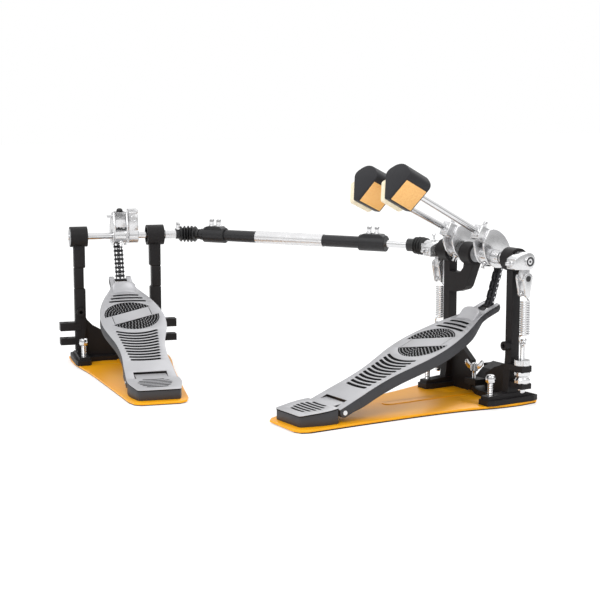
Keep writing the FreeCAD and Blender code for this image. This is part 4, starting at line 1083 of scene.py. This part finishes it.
makePiece("slave_yoke_collar", stub(*collars["slave"]), "tube", "slave_axle", slaveAxle, ["slave_yoke"])
makePiece("slave_axle_sleeve", stub(*collars["sleeve"]), "polished", "slave_axle", slaveAxle)
screwAt = shift(*collars["screw"]) @ Matrix.Scale(shaftCollars["screw"], 4)
makePiece("slave_collar_screw", gather((keyScrew(), screwAt)), "chrome", "slave_axle", slaveAxle)
knob = lathe([(0, 0), (3.2, 0), (3.2, 1.4), (1.3, 2), (1.3, 6), (2.2, 7), (2.6, 8.6), (2, 10.2), (0, 10.8)], 28)
yokeScrews = [(keyScrew(), shift(*collars["yokeScrew"]) @ turn(90, "X")), (knob, shift(*collars["yokeKnob"]))]
makePiece("yoke_screws", gather(*yokeScrews), "chrome", "second_axle", shift(0, 0, layout["axle"]))
makePiece("axle_rings", ringCollar(), "polished", "main_axle", shift(0, 0, layout["axle"]))
print("hubs, rockers and collars made")

# raised parts of the slave posts
posts = {"x": (53, -61), "outer": 7.6, "front": -7, "back": 8, "capX": -74.4,
         "steps": ((20, 113, 8.2), (113, 144, 5.6), (144, 178, 8.6))}


def postSleeve(x):
    # the inner edge steps in between the wide parts
    inward = -1 if x > 0 else 1
    shapes = []
    for low, high, reach in posts["steps"]:
        a, b = sorted((x - inward * posts["outer"], x + inward * reach))
        shapes.append(boxShape((a, posts["front"], low), (b, posts["back"], high), 1.6, 3))
    return shapes


sleeves = [shape for x in posts["x"] for shape in postSleeve(x)]
makePiece("slave_post_sleeves", gather(*sleeves), "cast", "slave_frame", pedals["slave"])
cap = lathe([(5.3, 0), (11.6, 0), (12.4, 0.6), (12.4, 1.2), (5.3, 1.2)])
capPlace = pedals["slave"] @ shift(posts["capX"], 0, layout["axle"]) @ alongX
makePiece("slave_end_cap", cap, "bearing", "slave_frame", capPlace)
print("posts made")

# camera and studio
studio = {"eye": (1.45752, -1.20740, 0.40166), "aim": (-0.21880, -0.15440, 0.11685), "lens": 86.85, "sensor": 36,
          "lampAim": (-0.2, -0.1, 0.1), "sky": 1.12, "floorGlow": 1.3, "floorMix": 0.45, "floorDrop": -0.3,
          "lamps": {"key": ((0.6, -1.6, 2.0), 1.6, 21), "fill": ((1.9, 0.4, 1.1), 1.2, 3.5),
                    "back": ((-1.3, 1.2, 1.7), 1.4, 8)}}


def facing(at, to):
    at = Vector(at)
    return Matrix.Translation(at) @ (Vector(to) - at).to_track_quat("-Z", "Y").to_matrix().to_4x4()


camera = bpy.data.objects.new("camera", bpy.data.cameras.new("camera"))
camera.data.sensor_width = studio["sensor"]
camera.data.lens = studio["lens"]
camera.data.clip_end = 50
scene.collection.objects.link(camera)
camera.matrix_world = facing(studio["eye"], studio["aim"])
scene.camera = camera
for name, (at, size, power) in studio["lamps"].items():
    light = bpy.data.lights.new(name, "AREA")
    light.size = size
    light.energy = power
    lamp = bpy.data.objects.new(name, light)
    scene.collection.objects.link(lamp)
    lamp.matrix_world = facing(at, studio["lampAim"])

# white to the camera, and a soft sky with a darker band near the horizon for everything else
scene.world = bpy.data.worlds.new("studio")
sky = Tree(scene.world)
ray = sky.node("ShaderNodeTexCoord", output=0)
rise = sky.node("ShaderNodeSeparateXYZ", None, {0: ray}, 2)
levels = [(0.0, (0.8, 0.8, 0.8, 1)), (0.47, (0.55, 0.55, 0.55, 1)), (0.55, (0.3, 0.3, 0.3, 1)),
          (0.68, (0.85, 0.85, 0.85, 1)), (1.0, (1, 1, 1, 1))]
shade = sky.node("ShaderNodeValToRGB", {"stops": levels}, {0: 0.5 * rise + 0.5})
lit = sky.node("ShaderNodeBackground", None, {"Color": shade, "Strength": studio["sky"]})
plain = sky.node("ShaderNodeBackground", None, {"Color": (1, 1, 1, 1), "Strength": 1.0})
seen = sky.node("ShaderNodeLightPath")
both = sky.node("ShaderNodeMixShader", None, {0: seen, 1: lit, 2: plain})
sky.feed(sky.tree.nodes["World Output"].inputs["Surface"], both)

# a white floor that keeps the soft shadow
floorMesh = bmesh.new()
bmesh.ops.create_grid(floorMesh, x_segments=1, y_segments=1, size=9000)
ground = Finish("floor", Roughness=1.0)
ground.surface.inputs["Base Color"].default_value = (0.92, 0.92, 0.92, 1)
ground.surface.inputs["Specular IOR Level"].default_value = 0
glow = ground.node("ShaderNodeEmission", None, {"Color": (1, 1, 1, 1), "Strength": studio["floorGlow"]})
cameraRay = ground.node("ShaderNodeLightPath")
mixed = ground.node("ShaderNodeMixShader", None,
                    {0: studio["floorMix"] * cameraRay, 1: Wire(ground, ground.surface.outputs[0]), 2: glow})
ground.feed(ground.tree.nodes["Material Output"].inputs["Surface"], mixed)
finishes["floor"] = ground.material
floor = makePiece("floor", floorMesh, "floor", None, shift(0, 0, studio["floorDrop"]))
print("studio made")
